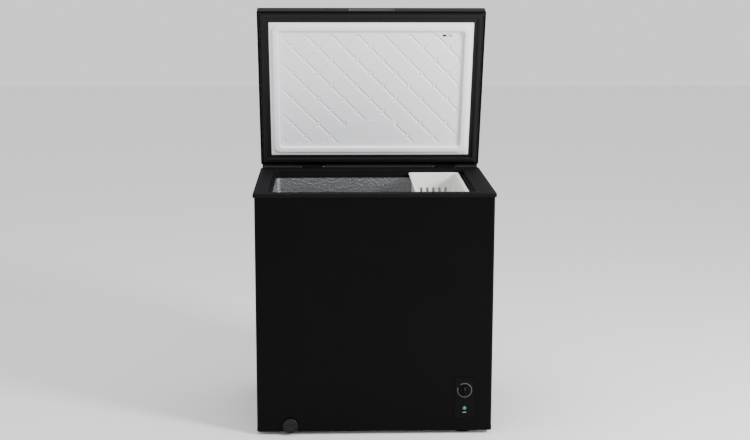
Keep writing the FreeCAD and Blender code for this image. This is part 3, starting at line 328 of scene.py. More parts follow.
def skin(rings, closed=True):
    """Faces between rings of points. Closed joins the last ring to the first; open caps both ends."""
    work = bmesh.new()
    rows = [[work.verts.new(p) for p in ring] for ring in rings]
    pairs = list(zip(rows, rows[1:]))
    if closed:
        pairs.append((rows[-1], rows[0]))
    else:
        work.faces.new(list(reversed(rows[0])))
        work.faces.new(rows[-1])
    count = len(rows[0])
    for low, high in pairs:
        for i in range(count):
            j = (i + 1) % count
            work.faces.new((low[i], low[j], high[j], high[i]))
    bmesh.ops.remove_doubles(work, verts=work.verts, dist=MERGE)
    bmesh.ops.dissolve_degenerate(work, edges=work.edges, dist=MERGE)
    bmesh.ops.recalc_face_normals(work, faces=work.faces)
    mesh = bpy.data.meshes.new("skin")
    work.to_mesh(mesh)
    work.free()
    return mesh


def rounded_loop(rect, radius, z, steps=8):
    """Points round a level rectangle with rounded corners, anticlockwise from above."""
    x0, x1, y0, y1 = rect
    corners = [(x1 - radius, y1 - radius, 0), (x0 + radius, y1 - radius, 90),
               (x0 + radius, y0 + radius, 180), (x1 - radius, y0 + radius, 270)]
    points = []
    for cx, cy, start in corners:
        for i in range(steps + 1):
            angle = math.radians(start + 90 * i / steps)
            points.append(Vector((cx + radius * math.cos(angle), cy + radius * math.sin(angle), z)))
    return points


def loft(levels, closed=True, steps=8):
    """Skin through loops, each given as rectangle, corner radius and height."""
    return skin([rounded_loop(rect, radius, z, steps) for rect, radius, z in levels], closed)


def lathe(profile, steps=48, start=0, sweep=360):
    """Turns a loop of (radius, height) points about the vertical, all the way round or part of it."""
    whole = sweep == 360
    count = steps if whole else steps + 1
    rings = []
    for i in range(count):
        angle = math.radians(start + sweep * i / steps)
        rings.append([Vector((r * math.cos(angle), r * math.sin(angle), z)) for r, z in profile])
    return skin(rings, closed=whole)


def block(x0, x1, y0, y1, z0, z1):
    rect = (x0, x1, y0, y1)
    return loft([(rect, TINY_R, z0), (rect, TINY_R, z1)], closed=False, steps=1)


def shade(mesh, degrees=32):
    """Smooth shading that keeps the true edges crisp."""
    mesh.shade_smooth()
    mesh.set_sharp_from_angle(angle=math.radians(degrees))
    return mesh


def merged(meshes):
    """Several meshes as one."""
    work = bmesh.new()
    for mesh in meshes:
        work.from_mesh(mesh)
    whole = bpy.data.meshes.new("merged")
    work.to_mesh(whole)
    work.free()
    return whole


def evaluated(holder):
    """The plain mesh that an object's modifiers make. The object is removed."""
    bpy.context.scene.collection.objects.link(holder)
    graph = bpy.context.evaluated_depsgraph_get()
    mesh = bpy.data.meshes.new_from_object(holder.evaluated_get(graph))
    bpy.data.objects.remove(holder)
    return mesh


def carved(mesh, cutter):
    """The mesh with the cutter's closed shapes taken out of it."""
    tool = bpy.data.objects.new("cutter", cutter)
    bpy.context.scene.collection.objects.link(tool)
    holder = bpy.data.objects.new("carved", mesh)
    boolean = holder.modifiers.new("carve", "BOOLEAN")
    boolean.operation = "DIFFERENCE"
    boolean.solver = "EXACT"
    boolean.object = tool
    made = evaluated(holder)
    bpy.data.objects.remove(tool)
    return made


def place_mesh(name, mesh, material, body, replaced=()):
    """Makes the finished mesh an object that rides on its body."""
    made = bpy.data.objects.new(name, mesh)
    bpy.context.scene.collection.objects.link(made)
    mesh.materials.clear()
    mesh.materials.append(material)
    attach(made, body)
    if replaced:
        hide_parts(*replaced)
    return made


# ---------------------------------------------------------------- geometry nodes

SOCKETS = {int: "NodeSocketInt", float: "NodeSocketFloat", bpy.types.Object: "NodeSocketObject"}


def grown(name, build, values, material):
    """Runs a node tree with the named values and returns the plain mesh that it makes."""
    tree = bpy.data.node_groups.new(name, "GeometryNodeTree")
    tree.interface.new_socket("Geometry", in_out="INPUT", socket_type="NodeSocketGeometry")
    tree.interface.new_socket("Geometry", in_out="OUTPUT", socket_type="NodeSocketGeometry")
    keys = {}
    for label, value in values.items():
        kind = SOCKETS[type(value)]
        keys[label] = tree.interface.new_socket(label, in_out="INPUT", socket_type=kind).identifier
    given = node(tree, "NodeGroupInput").outputs
    real = node(tree, "GeometryNodeRealizeInstances", {"Geometry": build(tree, given)})
    coated = node(tree, "GeometryNodeSetMaterial", {"Geometry": real, "Material": material})
    node(tree, "NodeGroupOutput", {"Geometry": coated})
    holder = bpy.data.objects.new(name, bpy.data.meshes.new(name))
    modifier = holder.modifiers.new("grow", "NODES")
    modifier.node_group = tree
    for label, value in values.items():
        modifier[keys[label]] = value
    return evaluated(holder)


def rows_tree(tree, given):
    """Rows and columns of one shape, starting at the origin, across and up."""
    shape = node(tree, "GeometryNodeObjectInfo", {"Object": given["Shape"]}).outputs["Geometry"]
    across = node(tree, COMBINE, {"X": given["Column Pitch"]})
    upward = node(tree, COMBINE, {"Y": given["Row Pitch"]})
    row = node(tree, "GeometryNodeMeshLine", {"Count": given["Columns"], "Offset": across})
    column = node(tree, "GeometryNodeMeshLine", {"Count": given["Rows"], "Offset": upward})
    grid = node(tree, "GeometryNodeInstanceOnPoints", {"Points": column, "Instance": row})
    points = node(tree, "GeometryNodeRealizeInstances", {"Geometry": grid})
    return node(tree, "GeometryNodeInstanceOnPoints", {"Points": points, "Instance": shape})


def ring_tree(tree, given):
    """Copies of one shape round a circle, each turned to face outwards along its own X."""
    shape = node(tree, "GeometryNodeObjectInfo", {"Object": given["Shape"]}).outputs["Geometry"]
    circle = node(tree, "GeometryNodeMeshCircle", {"Vertices": given["Copies"], "Radius": given["Radius"]})
    place = node(tree, "GeometryNodeInputPosition")
    turn = node(tree, "FunctionNodeAlignRotationToVector", {"Vector": place}, axis="X", pivot_axis="Z")
    return node(tree, "GeometryNodeInstanceOnPoints", {"Points": circle, "Instance": shape, "Rotation": turn})


def repeated(name, build, shape, values, material):
    """Repeats a small mesh with one of the trees above."""
    pattern = bpy.data.objects.new("shape", shape)
    bpy.context.scene.collection.objects.link(pattern)
    mesh = grown(name, build, dict(values, Shape=pattern), material)
    bpy.data.objects.remove(pattern)
    return mesh


def rows(name, shape, columns, pitch_x, count, pitch_y, material):
    values = {"Columns": columns, "Column Pitch": pitch_x, "Rows": count, "Row Pitch": pitch_y}
    return repeated(name, rows_tree, shape, values, material)


def ring(name, shape, copies, radius, material):
    return repeated(name, ring_tree, shape, {"Copies": copies, "Radius": radius}, material)


def facing_front(x, y, z):
    """Turns a piece made with its face up so that it faces the front, at this place."""
    return Matrix.Translation((x, y, z)) @ Matrix.Rotation(math.radians(90), 4, "X")


def facing_rear(x, y, z):
    return facing_front(x, y, z) @ Matrix.Rotation(math.pi, 4, "Y")


def facing_right(x, y, z):
    return facing_front(x, y, z) @ Matrix.Rotation(math.pi / 2, 4, "Y")


def moved(mesh, matrix):
    mesh.transform(matrix)
    return mesh


def place_lid_mesh(name, mesh, material, replaced=()):
    """A piece of the lid, drawn shut and then turned open with it."""
    return place_mesh(name, moved(mesh, LID_TURN), material, "lid", replaced)


# ---------------------------------------------------------------- collar

COLLAR = rect_of(collar_low, collar_high)
SHELL = rect_of(shell_low, shell_high)
BAND_LEFT = 47 * MM
BAND_RIGHT = 60 * MM
BAND_FRONT = 48 * MM
BAND_REAR = 58 * MM
OPENING = (COLLAR[0] + BAND_LEFT, COLLAR[1] - BAND_RIGHT, COLLAR[2] + BAND_FRONT, COLLAR[3] - BAND_REAR)
OPENING_R = 26 * MM
LEDGE_DROP = 14 * MM
LEDGE_W = 8 * MM
HOOD_R = 10.4 * MM
HOOD_T = 1.5 * MM
HOOD_CLEAR = 0.8 * MM
EAR_W = 6 * MM
EAR_START = 245
EAR_SWEEP = 60


def along_pin(x):
    """Lays a turned piece along the line of the hinge pins, starting at x."""
    return Matrix.Translation((x, PIVOT.y, PIVOT.z)) @ Matrix.Rotation(math.pi / 2, 4, "Y")


def build_collar():
    """Moulded collar: rounded outer lip, flat band, rolled inner edge, ledge and skirt."""
    top = collar_high.z
    corner = 12 * MM
    lip = top - 11.5 * MM
    wall = 2.5 * MM
    under = top - 3 * MM
    bottom = collar_low.z
    ledge = top - LEDGE_DROP
    throat = inset(OPENING, LEDGE_W)
    throat_r = OPENING_R - LEDGE_W
    inside = inset(SHELL, -0.4 * MM)
    levels = [
        (inset(COLLAR, 0.5 * MM), corner, lip),
        (COLLAR, corner, lip + 0.8 * MM),
        (COLLAR, corner, top - 2.2 * MM),
        (inset(COLLAR, 0.6 * MM), corner, top - 0.7 * MM),
        (inset(COLLAR, 2.2 * MM), corner, top),
        (inset(OPENING, -5 * MM), OPENING_R + 5 * MM, top),
        (inset(OPENING, -1.6 * MM), OPENING_R + 1.6 * MM, top - 0.8 * MM),
        (inset(OPENING, -0.4 * MM), OPENING_R, top - 2.2 * MM),
        (OPENING, OPENING_R, top - 4 * MM),
        (OPENING, OPENING_R, ledge + 0.6 * MM),
        (inset(OPENING, 0.6 * MM), OPENING_R - 0.6 * MM, ledge),
        (inset(throat, -1.2 * MM), throat_r + 1.2 * MM, ledge),
        (throat, throat_r, ledge - 1.2 * MM),
        (throat, throat_r, bottom),
        (inset(throat, -wall), throat_r + wall, bottom),
        (inset(throat, -wall), throat_r + wall, ledge - wall),
        (inset(OPENING, -wall), OPENING_R + wall, ledge - wall),
        (inset(OPENING, -wall), OPENING_R + wall, under),
        (inside, 10 * MM, under),
        (inside, 10 * MM, lip),
    ]
    collar = loft(levels, steps=12)
    for side in ("left", "right"):
        low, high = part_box("hinge_leaf_" + side)
        clear_r = HOOD_R + HOOD_CLEAR
        length = high.x - low.x + 2 * (EAR_W + HOOD_CLEAR)
        notch = lathe([(0, 0), (clear_r, 0), (clear_r, length), (0, length)], 64)
        collar = carved(collar, moved(notch, along_pin(low.x - EAR_W - HOOD_CLEAR)))
    place_mesh("collar", shade(collar, 28), CHARCOAL, "cabinet", ["top_collar"])


# ---------------------------------------------------------------- cabinet dressing

CAP_X = (cap_low.x + cap_high.x) / 2
CAP_Z = (cap_low.z + cap_high.z) / 2
CAP_CLEAR = 0.6 * MM


def build_base_hem():
    """Folded hem along the shell's lower edge: a shallow band, open round the drain cap."""
    proud = 0.5 * MM
    low = shell_low.z
    high = low + 13 * MM
    out = inset(SHELL, -proud)
    levels = [(out, 10 * MM, low), (out, 10 * MM, high - proud), (SHELL, 10 * MM, high),
              (inset(SHELL, 1.5 * MM), 9 * MM, high), (inset(SHELL, 1.5 * MM), 9 * MM, low)]
    radius = (cap_high.x - cap_low.x) / 2 + CAP_CLEAR
    gap = lathe([(0, -2 * MM), (radius, -2 * MM), (radius, 2 * MM), (0, 2 * MM)], 48)
    hem = carved(loft(levels, steps=10), moved(gap, facing_front(CAP_X, SHELL[2], CAP_Z)))
    place_mesh("base_hem", shade(hem), ENAMEL, "cabinet")


def louvre_hood(length, height, proud):
    """Half-round pressed hood over a vent slot, open along its lower edge. Its face is up."""
    start = [(0.0, 0.2), (0.03, 0.6), (0.08, 0.9), (0.14, 1.0)]
    end = [(0.86, 1.0), (0.92, 0.9), (0.97, 0.6), (1.0, 0.2)]
    inner = 0.72
    sections = []
    for at, size in start + end:
        x = (at - 0.5) * length
        section = []
        for steps, share, drop in ((range(7), 1.0, 0.0), (range(6, -1, -1), inner, 0.1)):
            for i in steps:
                angle = math.pi * i / 6
                y = height * (0.5 + 0.5 * share * math.cos(angle) - drop)
                section.append(Vector((x, y, proud * size * share * math.sin(angle))))
        sections.append(section)
    return shade(skin(sections, closed=False), 40)


SIDE_SLOT_D = 55 * MM
SIDE_SLOT_BRIDGE = 8 * MM
VENT_ROWS = 9
VENT_PITCH = 17 * MM
VENT_H = 5 * MM
VENT_LIFT = 53.2 * MM + shell_low.z
COVER_VENT_DROP = 40 * MM
HOOD_LAP = 0.6 * MM
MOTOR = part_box("compressor")
MOTOR_Y = (MOTOR[0].y + MOTOR[1].y) / 2


def build_side_louvres():
    hood = louvre_hood(SIDE_SLOT_D + 4 * MM, VENT_H + 3 * MM, 2.6 * MM)
    pitch = SIDE_SLOT_D + SIDE_SLOT_BRIDGE
    mesh = rows("side_louvres", hood, 2, pitch, VENT_ROWS, VENT_PITCH, ENAMEL)
    moved(mesh, facing_right(shell_high.x, MOTOR_Y - pitch / 2, VENT_LIFT - HOOD_LAP))
    place_mesh("side_louvres", mesh, ENAMEL, "cabinet")


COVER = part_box("rear_cover")
COVER_SLOT_W = 70 * MM
COVER_BRIDGE = 16 * MM


def build_cover_louvres():
    hood = louvre_hood(COVER_SLOT_W + 4 * MM, VENT_H + 3 * MM, 3 * MM)
    pitch = COVER_SLOT_W + COVER_BRIDGE
    mesh = rows("cover_louvres", hood, 2, pitch, VENT_ROWS, VENT_PITCH, ZINC)
    lowest = COVER[1].z - COVER_VENT_DROP - (VENT_ROWS - 1) * VENT_PITCH
    middle = (COVER[0].x + COVER[1].x) / 2
    moved(mesh, facing_rear(middle + pitch / 2, COVER[1].y, lowest - HOOD_LAP))
    place_mesh("cover_louvres", mesh, ZINC, "cabinet")


def pan_screw(radius, height):
    """Pan head with a cross recess, its face up."""
    profile = [(0, 0), (radius, 0), (radius, 0.45 * height), (0.82 * radius, 0.85 * height),
               (0.4 * radius, height), (0, height)]
    arm = 0.62 * radius
    half = 0.13 * radius
    floor = 0.35 * height
    head = carved(lathe(profile, 20), block(-arm, arm, -half, half, floor, 2 * height))
    return shade(carved(head, block(-half, half, -arm, arm, floor, 2 * height)), 30)


def build_cover_screws():
    lap = 5 * MM
    across = COVER[1].x - COVER[0].x - 2 * lap
    upward = COVER[1].z - COVER[0].z - 2 * lap
    mesh = rows("cover_screws", pan_screw(4.5 * MM, 2.2 * MM), 2, across, 2, upward, BRIGHT)
    moved(mesh, facing_rear(COVER[1].x - lap, COVER[1].y, COVER[0].z + lap))
    place_mesh("rear_screws", mesh, BRIGHT, "cabinet", ["cover_screws"])


def build_hinge_screws():
    """Two columns of three screws hold each hinge channel to the rear panel."""
    across, upward = 44 * MM, 32 * MM
    meshes = []
    for side in ("left", "right"):
        low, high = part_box("hinge_base_" + side)
        head = pan_screw(4 * MM, 2 * MM)
        mesh = rows("hinge_screws", head, 2, across, 3, upward, BRIGHT)
        middle = (low.x + high.x) / 2
        moved(mesh, facing_rear(middle + across / 2, SHELL[3] + 2 * MM, low.z + 14 * MM))
        meshes.append(mesh)
    place_mesh("hinge_screws", merged(meshes), BRIGHT, "cabinet")


def build_hinge_ears():
    """Turned-over ends of each hinge hood, which reach over the channel's cheeks."""
    ears = []
    for side in ("left", "right"):
        low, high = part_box("hinge_leaf_" + side)
        for x in (low.x - EAR_W, high.x):
            profile = [(HOOD_R - HOOD_T, 0), (HOOD_R, 0), (HOOD_R, EAR_W), (HOOD_R - HOOD_T, EAR_W)]
            ears.append(moved(lathe(profile, 24, EAR_START, EAR_SWEEP), along_pin(x)))
    place_lid_mesh("hinge_hood_ears", shade(merged(ears)), ENAMEL)


def build_foot(side, row):
    """Moulded foot: tapered block with a tread and a groove round it."""
    name = f"foot_{row}_{side}"
    low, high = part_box(name)
    rect = rect_of(low, high)
    levels = [
        (inset(rect, 4 * MM), 4 * MM, low.z),
        (inset(rect, 3 * MM), 5 * MM, low.z + 1 * MM),
        (inset(rect, 2.2 * MM), 5 * MM, low.z + 4 * MM),
        (inset(rect, 3.2 * MM), 4 * MM, low.z + 4.6 * MM),
        (inset(rect, 3.2 * MM), 4 * MM, low.z + 5.6 * MM),
        (inset(rect, 1.8 * MM), 5 * MM, low.z + 6.2 * MM),
        (inset(rect, 0.2 * MM), 6 * MM, high.z),
    ]
    foot = shade(loft(levels, closed=False, steps=6))
    place_mesh("moulded_" + name, foot, BLACK, "cabinet", [name])


# ---------------------------------------------------------------- controls

FACE_Y = plate_low.y
CONTROL_X = (plate_low.x + plate_high.x) / 2
KNOB_Z = (knob_low.z + knob_high.z) / 2
LAMP_Z = (lens_low.z + lens_high.z) / 2


def build_faceplate():
    """Snap-in plate with a raised border."""
    rect = (plate_low.x, plate_high.x, plate_low.z, plate_high.z)
    thick = plate_high.y - plate_low.y
    levels = [
        (rect, 4 * MM, 0),
        (rect, 4 * MM, thick - 0.9 * MM),
        (inset(rect, 0.4 * MM), 3.6 * MM, thick - 0.2 * MM),
        (inset(rect, 1.0 * MM), 3.2 * MM, thick),
        (inset(rect, 2.2 * MM), 2.4 * MM, thick),
        (inset(rect, 2.8 * MM), 2 * MM, thick - 0.5 * MM),
    ]
    plate = moved(loft(levels, closed=False, steps=6), facing_front(0, plate_high.y, 0))
    place_mesh("faceplate", shade(plate, 25), FACEPLATE, "cabinet", ["control_panel"])


def build_dial():
    """Grey ring with its break at the upper left, small marks round it, and a bar by the lamp."""
    inner, outer, high = 20.6 * MM, 23.6 * MM, 1.2 * MM
    soft = 0.4 * MM
    ring_start, ring_sweep = 158, 328
    marks_r = 25.6 * MM
    bar_drop = 14.5 * MM
    sunk = 0.3 * MM
    profile = [(inner, -soft), (outer, -soft), (outer, high - soft), (outer - soft, high),
               (inner + soft, high), (inner, high - soft)]
    band = lathe(profile, 72, ring_start, ring_sweep)
    moved(band, facing_front(CONTROL_X, FACE_Y, KNOB_Z))
    place_mesh("dial_ring_grey", shade(band, 30), DIAL_GREY, "cabinet", ["dial_ring"])
    tick = block(0, 2.2 * MM, -0.35 * MM, 0.35 * MM, -0.3 * MM, 0.25 * MM)
    marks = ring("dial_marks", tick, 24, marks_r, MARK_GREY)
    moved(marks, facing_front(CONTROL_X, FACE_Y + sunk, KNOB_Z))
    place_mesh("dial_marks", marks, MARK_GREY, "cabinet")
    bar = block(-6 * MM, 6 * MM, -0.6 * MM, 0.6 * MM, -0.3 * MM, 0.3 * MM)
    moved(bar, facing_front(CONTROL_X, FACE_Y + sunk, LAMP_Z - bar_drop))
    place_mesh("lamp_mark", bar, PIPE_GREY, "cabinet")


def build_knob():
    """Turned knob: fluted skirt, drum with a finger grip and a pointer line."""
    skirt_r, drum_r, skirt_t = 17.5 * MM, 15 * MM, 4 * MM
    high = 13.8 * MM
    grip = 4 * MM
    beyond = 30 * MM
    at = facing_front(CONTROL_X, FACE_Y - 0.8 * MM, KNOB_Z)
    profile = [(0, 0), (skirt_r - 0.5 * MM, 0), (skirt_r, 0.5 * MM), (skirt_r, skirt_t - 1 * MM),
               (skirt_r - 1 * MM, skirt_t), (drum_r, skirt_t + 0.4 * MM),
               (drum_r - 0.3 * MM, high - 1.2 * MM), (drum_r - 1.4 * MM, high), (0, high)]
    flute_r, flute_end = 0.9 * MM, skirt_t + 1 * MM
    flute = lathe([(0, -1 * MM), (flute_r, -1 * MM), (flute_r, flute_end), (0, flute_end)], 8)
    knob = carved(lathe(profile, 72), ring("flutes", flute, 30, skirt_r + 0.35 * MM, BLACK))
    for side in (-1, 1):
        near, far = sorted((side * grip, side * beyond))
        knob = carved(knob, block(near, far, -beyond, beyond, skirt_t + 2 * MM, 2 * high))
    knob = shade(moved(knob, at), 30)
    place_mesh("knob", knob, FACEPLATE, "thermostat_knob", ["thermostat_knob"])
    line = block(-0.6 * MM, 0.6 * MM, 4 * MM, drum_r - 1.6 * MM, high - 0.3 * MM, high + 0.15 * MM)
    place_mesh("knob_pointer", moved(line, at), DIAL_GREY, "thermostat_knob")


def build_lamp():
    """Domed lens in a thin black bezel."""
    lens_r, lens_edge, dome_rise = 5.6 * MM, 1.2 * MM, 2.2 * MM
    bezel_r = 7.5 * MM
    at = facing_front(CONTROL_X, FACE_Y, LAMP_Z)
    dome = [(0, -2 * MM), (lens_r, -2 * MM), (lens_r, lens_edge)]
    for i in range(1, 7):
        angle = math.radians(90 * i / 6)
        dome.append((lens_r * math.cos(angle), lens_edge + dome_rise * math.sin(angle)))
    lens = shade(moved(lathe(dome, 32), at), 40)
    place_mesh("lamp_lens", lens, LENS, "cabinet", ["indicator_lens"])
    profile = [(lens_r, -0.4 * MM), (bezel_r, -0.4 * MM), (bezel_r, 0.9 * MM), (bezel_r - 0.6 * MM, 1.5 * MM),
               (lens_r + 0.3 * MM, 1.5 * MM), (lens_r, 1.1 * MM)]
    bezel = shade(moved(lathe(profile, 36), at), 40)
    place_mesh("lamp_bezel", bezel, BLACK, "cabinet")


def build_drain_cap():
    """Knurled cap with a dished face and a bar to turn it by."""
    radius = (cap_high.x - cap_low.x) / 2
    thick = 9 * MM
    grip_r, grip_end = 1.3 * MM, thick + 1 * MM
    spigot_r, spigot_deep = 7.9 * MM, 16 * MM
    profile = [(0, 0), (radius - 0.6 * MM, 0), (radius, 0.6 * MM), (radius, thick - 1.6 * MM),
               (radius - 1.6 * MM, thick), (radius - 3.2 * MM, thick), (radius - 3.8 * MM, thick - 3 * MM),
               (0, thick - 3 * MM)]
    notch = lathe([(0, 1.2 * MM), (grip_r, 1.2 * MM), (grip_r, grip_end), (0, grip_end)], 8)
    cap = carved(lathe(profile, 72), ring("cap_grips", notch, 28, radius + 0.5 * MM, BLACK))
    bar_rect = (-radius + 3.4 * MM, radius - 3.4 * MM, -3 * MM, 3 * MM)
    bar = loft([(bar_rect, 1 * MM, thick - 3.2 * MM), (bar_rect, 1 * MM, thick - 1.2 * MM),
                (inset(bar_rect, 0.7 * MM), 1 * MM, thick - 0.5 * MM)], closed=False, steps=4)
    spigot = lathe([(0, -spigot_deep), (spigot_r, -spigot_deep), (spigot_r, 0.4 * MM), (0, 0.4 * MM)], 32)
    whole = merged([cap, bar, spigot])
    moved(whole, facing_front(CAP_X, cap_low.y + thick, CAP_Z))
    place_mesh("drain_cap_knurled", shade(whole, 30), BLACK, "drain_cap", ["drain_cap"])


# ---------------------------------------------------------------- lid

LID = rect_of(lid_low, lid_high)
PANEL = rect_of(panel_low, panel_high)
FRAME_IN = 7.6 * MM
SEAM = 0.6 * MM
GASKET_IN = gasket_low.x - lid_low.x
GASKET_W = 15 * MM
LID_Z = lid_low.z
HANDLE_W = 150 * MM
HANDLE_DEEP = 14 * MM
HANDLE_H = 20 * MM
HANDLE_LIFT = 3 * MM


def build_lid_frame():
    """Extruded frame: outer bead, gasket channel, flat, and a small bead beside the panel."""
    outer = inset(LID, FRAME_IN)
    window = inset(PANEL, -SEAM)
    channel = inset(LID, GASKET_IN + 0.8 * MM)
    channel_end = inset(LID, GASKET_IN + GASKET_W - 0.8 * MM)
    levels = [
        (outer, 2 * MM, LID_Z + 11 * MM),
        (outer, 2 * MM, LID_Z + 0.4 * MM),
        (inset(outer, 0.5 * MM), 2 * MM, LID_Z - 0.9 * MM),
        (inset(outer, 1.3 * MM), 2 * MM, LID_Z - 1.3 * MM),
        (inset(outer, 2.2 * MM), 2 * MM, LID_Z - 0.9 * MM),
        (inset(outer, 2.9 * MM), 2 * MM, LID_Z),
        (channel, 3 * MM, LID_Z),
        (channel, 3 * MM, LID_Z + 1.5 * MM),
        (channel_end, 4 * MM, LID_Z + 1.5 * MM),
        (channel_end, 4 * MM, LID_Z),
        (inset(window, -4.5 * MM), 5 * MM, LID_Z),
        (inset(window, -3.6 * MM), 5 * MM, LID_Z - 1.0 * MM),
        (inset(window, -1.6 * MM), 4 * MM, LID_Z - 1.2 * MM),
        (inset(window, -0.4 * MM), 3.4 * MM, LID_Z - 0.6 * MM),
        (window, 3 * MM, LID_Z + 0.6 * MM),
        (window, 3 * MM, LID_Z + 3 * MM),
        (inset(outer, 2 * MM), 2 * MM, LID_Z + 3 * MM),
        (inset(outer, 2 * MM), 2 * MM, LID_Z + 11 * MM),
    ]
    low = LID_Z + HANDLE_LIFT
    pocket = block(-HANDLE_W / 2, HANDLE_W / 2, LID[2] - 1 * MM, LID[2] + HANDLE_DEEP, low, low + HANDLE_H)
    moulding = shade(carved(loft(levels, steps=6), pocket), 26)
    place_lid_mesh("lid_frame_moulding", moulding, FRAME_BLACK, ["lid_frame"])


def build_lid_gasket():
    """Bellows gasket: a soft tube with a folded side, pushed into the frame."""
    outer = rect_of(gasket_low, gasket_high)
    high = gasket_high.z
    drop = high - gasket_low.z
    section = [(0, 0), (0, 0.32), (1.4, 0.45), (0.1, 0.62), (0.6, 0.9), (2.2, 1.0), (12.8, 1.0),
               (14.4, 0.9), (15.0, 0.62), (13.6, 0.45), (15.0, 0.32), (15.0, 0)]
    levels = [(inset(outer, across * MM), max(6 - across, 0.5) * MM, high - down * drop)
              for across, down in section]
    place_lid_mesh("gasket", shade(loft(levels, steps=6), 50), RUBBER, ["lid_gasket"])


def build_handle():
    """Moulded finger pocket let into the lid's front edge, with a rolled lip."""
    low = LID_Z + HANDLE_LIFT
    rect = (-HANDLE_W / 2, HANDLE_W / 2, low, low + HANDLE_H)
    mouth = inset(rect, 2 * MM)
    levels = [
        (rect, 1.5 * MM, -HANDLE_DEEP),
        (rect, 1.5 * MM, -0.5 * MM),
        (inset(rect, 0.5 * MM), 1.5 * MM, 0),
        (inset(mouth, -0.6 * MM), 2 * MM, 0),
        (mouth, 2 * MM, -0.6 * MM),
        (inset(mouth, 1.2 * MM), 3 * MM, -HANDLE_DEEP + 3 * MM),
        (inset(mouth, 2.6 * MM), 3 * MM, -HANDLE_DEEP + 2 * MM),
    ]
    pocket = moved(loft(levels, closed=False, steps=6), facing_front(0, LID[2], 0))
    # Its lighter grey is painted light from above on the upturned front edge.
    place_lid_mesh("handle_pocket", shade(pocket, 30), HANDLE_GREY_PAINTED_LIGHT, ["lid_handle"])


# quilted inner panel
RING_IN = 10.5 * MM
RING_W = 20.5 * MM
RING_DROP = LID_Z - panel_low.z
FIELD_RISE = 5 * MM
FIELD_BACK = 4 * MM
FIELD = inset(PANEL, RING_IN + RING_W)
FIELD_Z = LID_Z + FIELD_RISE
PAD_W = 87.6 * MM
PAD_D = 93.8 * MM
PAD_SHIFT_X = -4.5 * MM
PAD_ROW_IN = 481 * MM
PAD_RISE = 0.8 * MM
GROOVE_DEPTH = 2.6 * MM
CROSSING_START = 1.15
CROSSING_END = 1.8
GRID_STEP = 1.8 * MM
BLANK_W = 165 * MM
BLANK_IN = 76 * MM
BLANK_END = 165 * MM


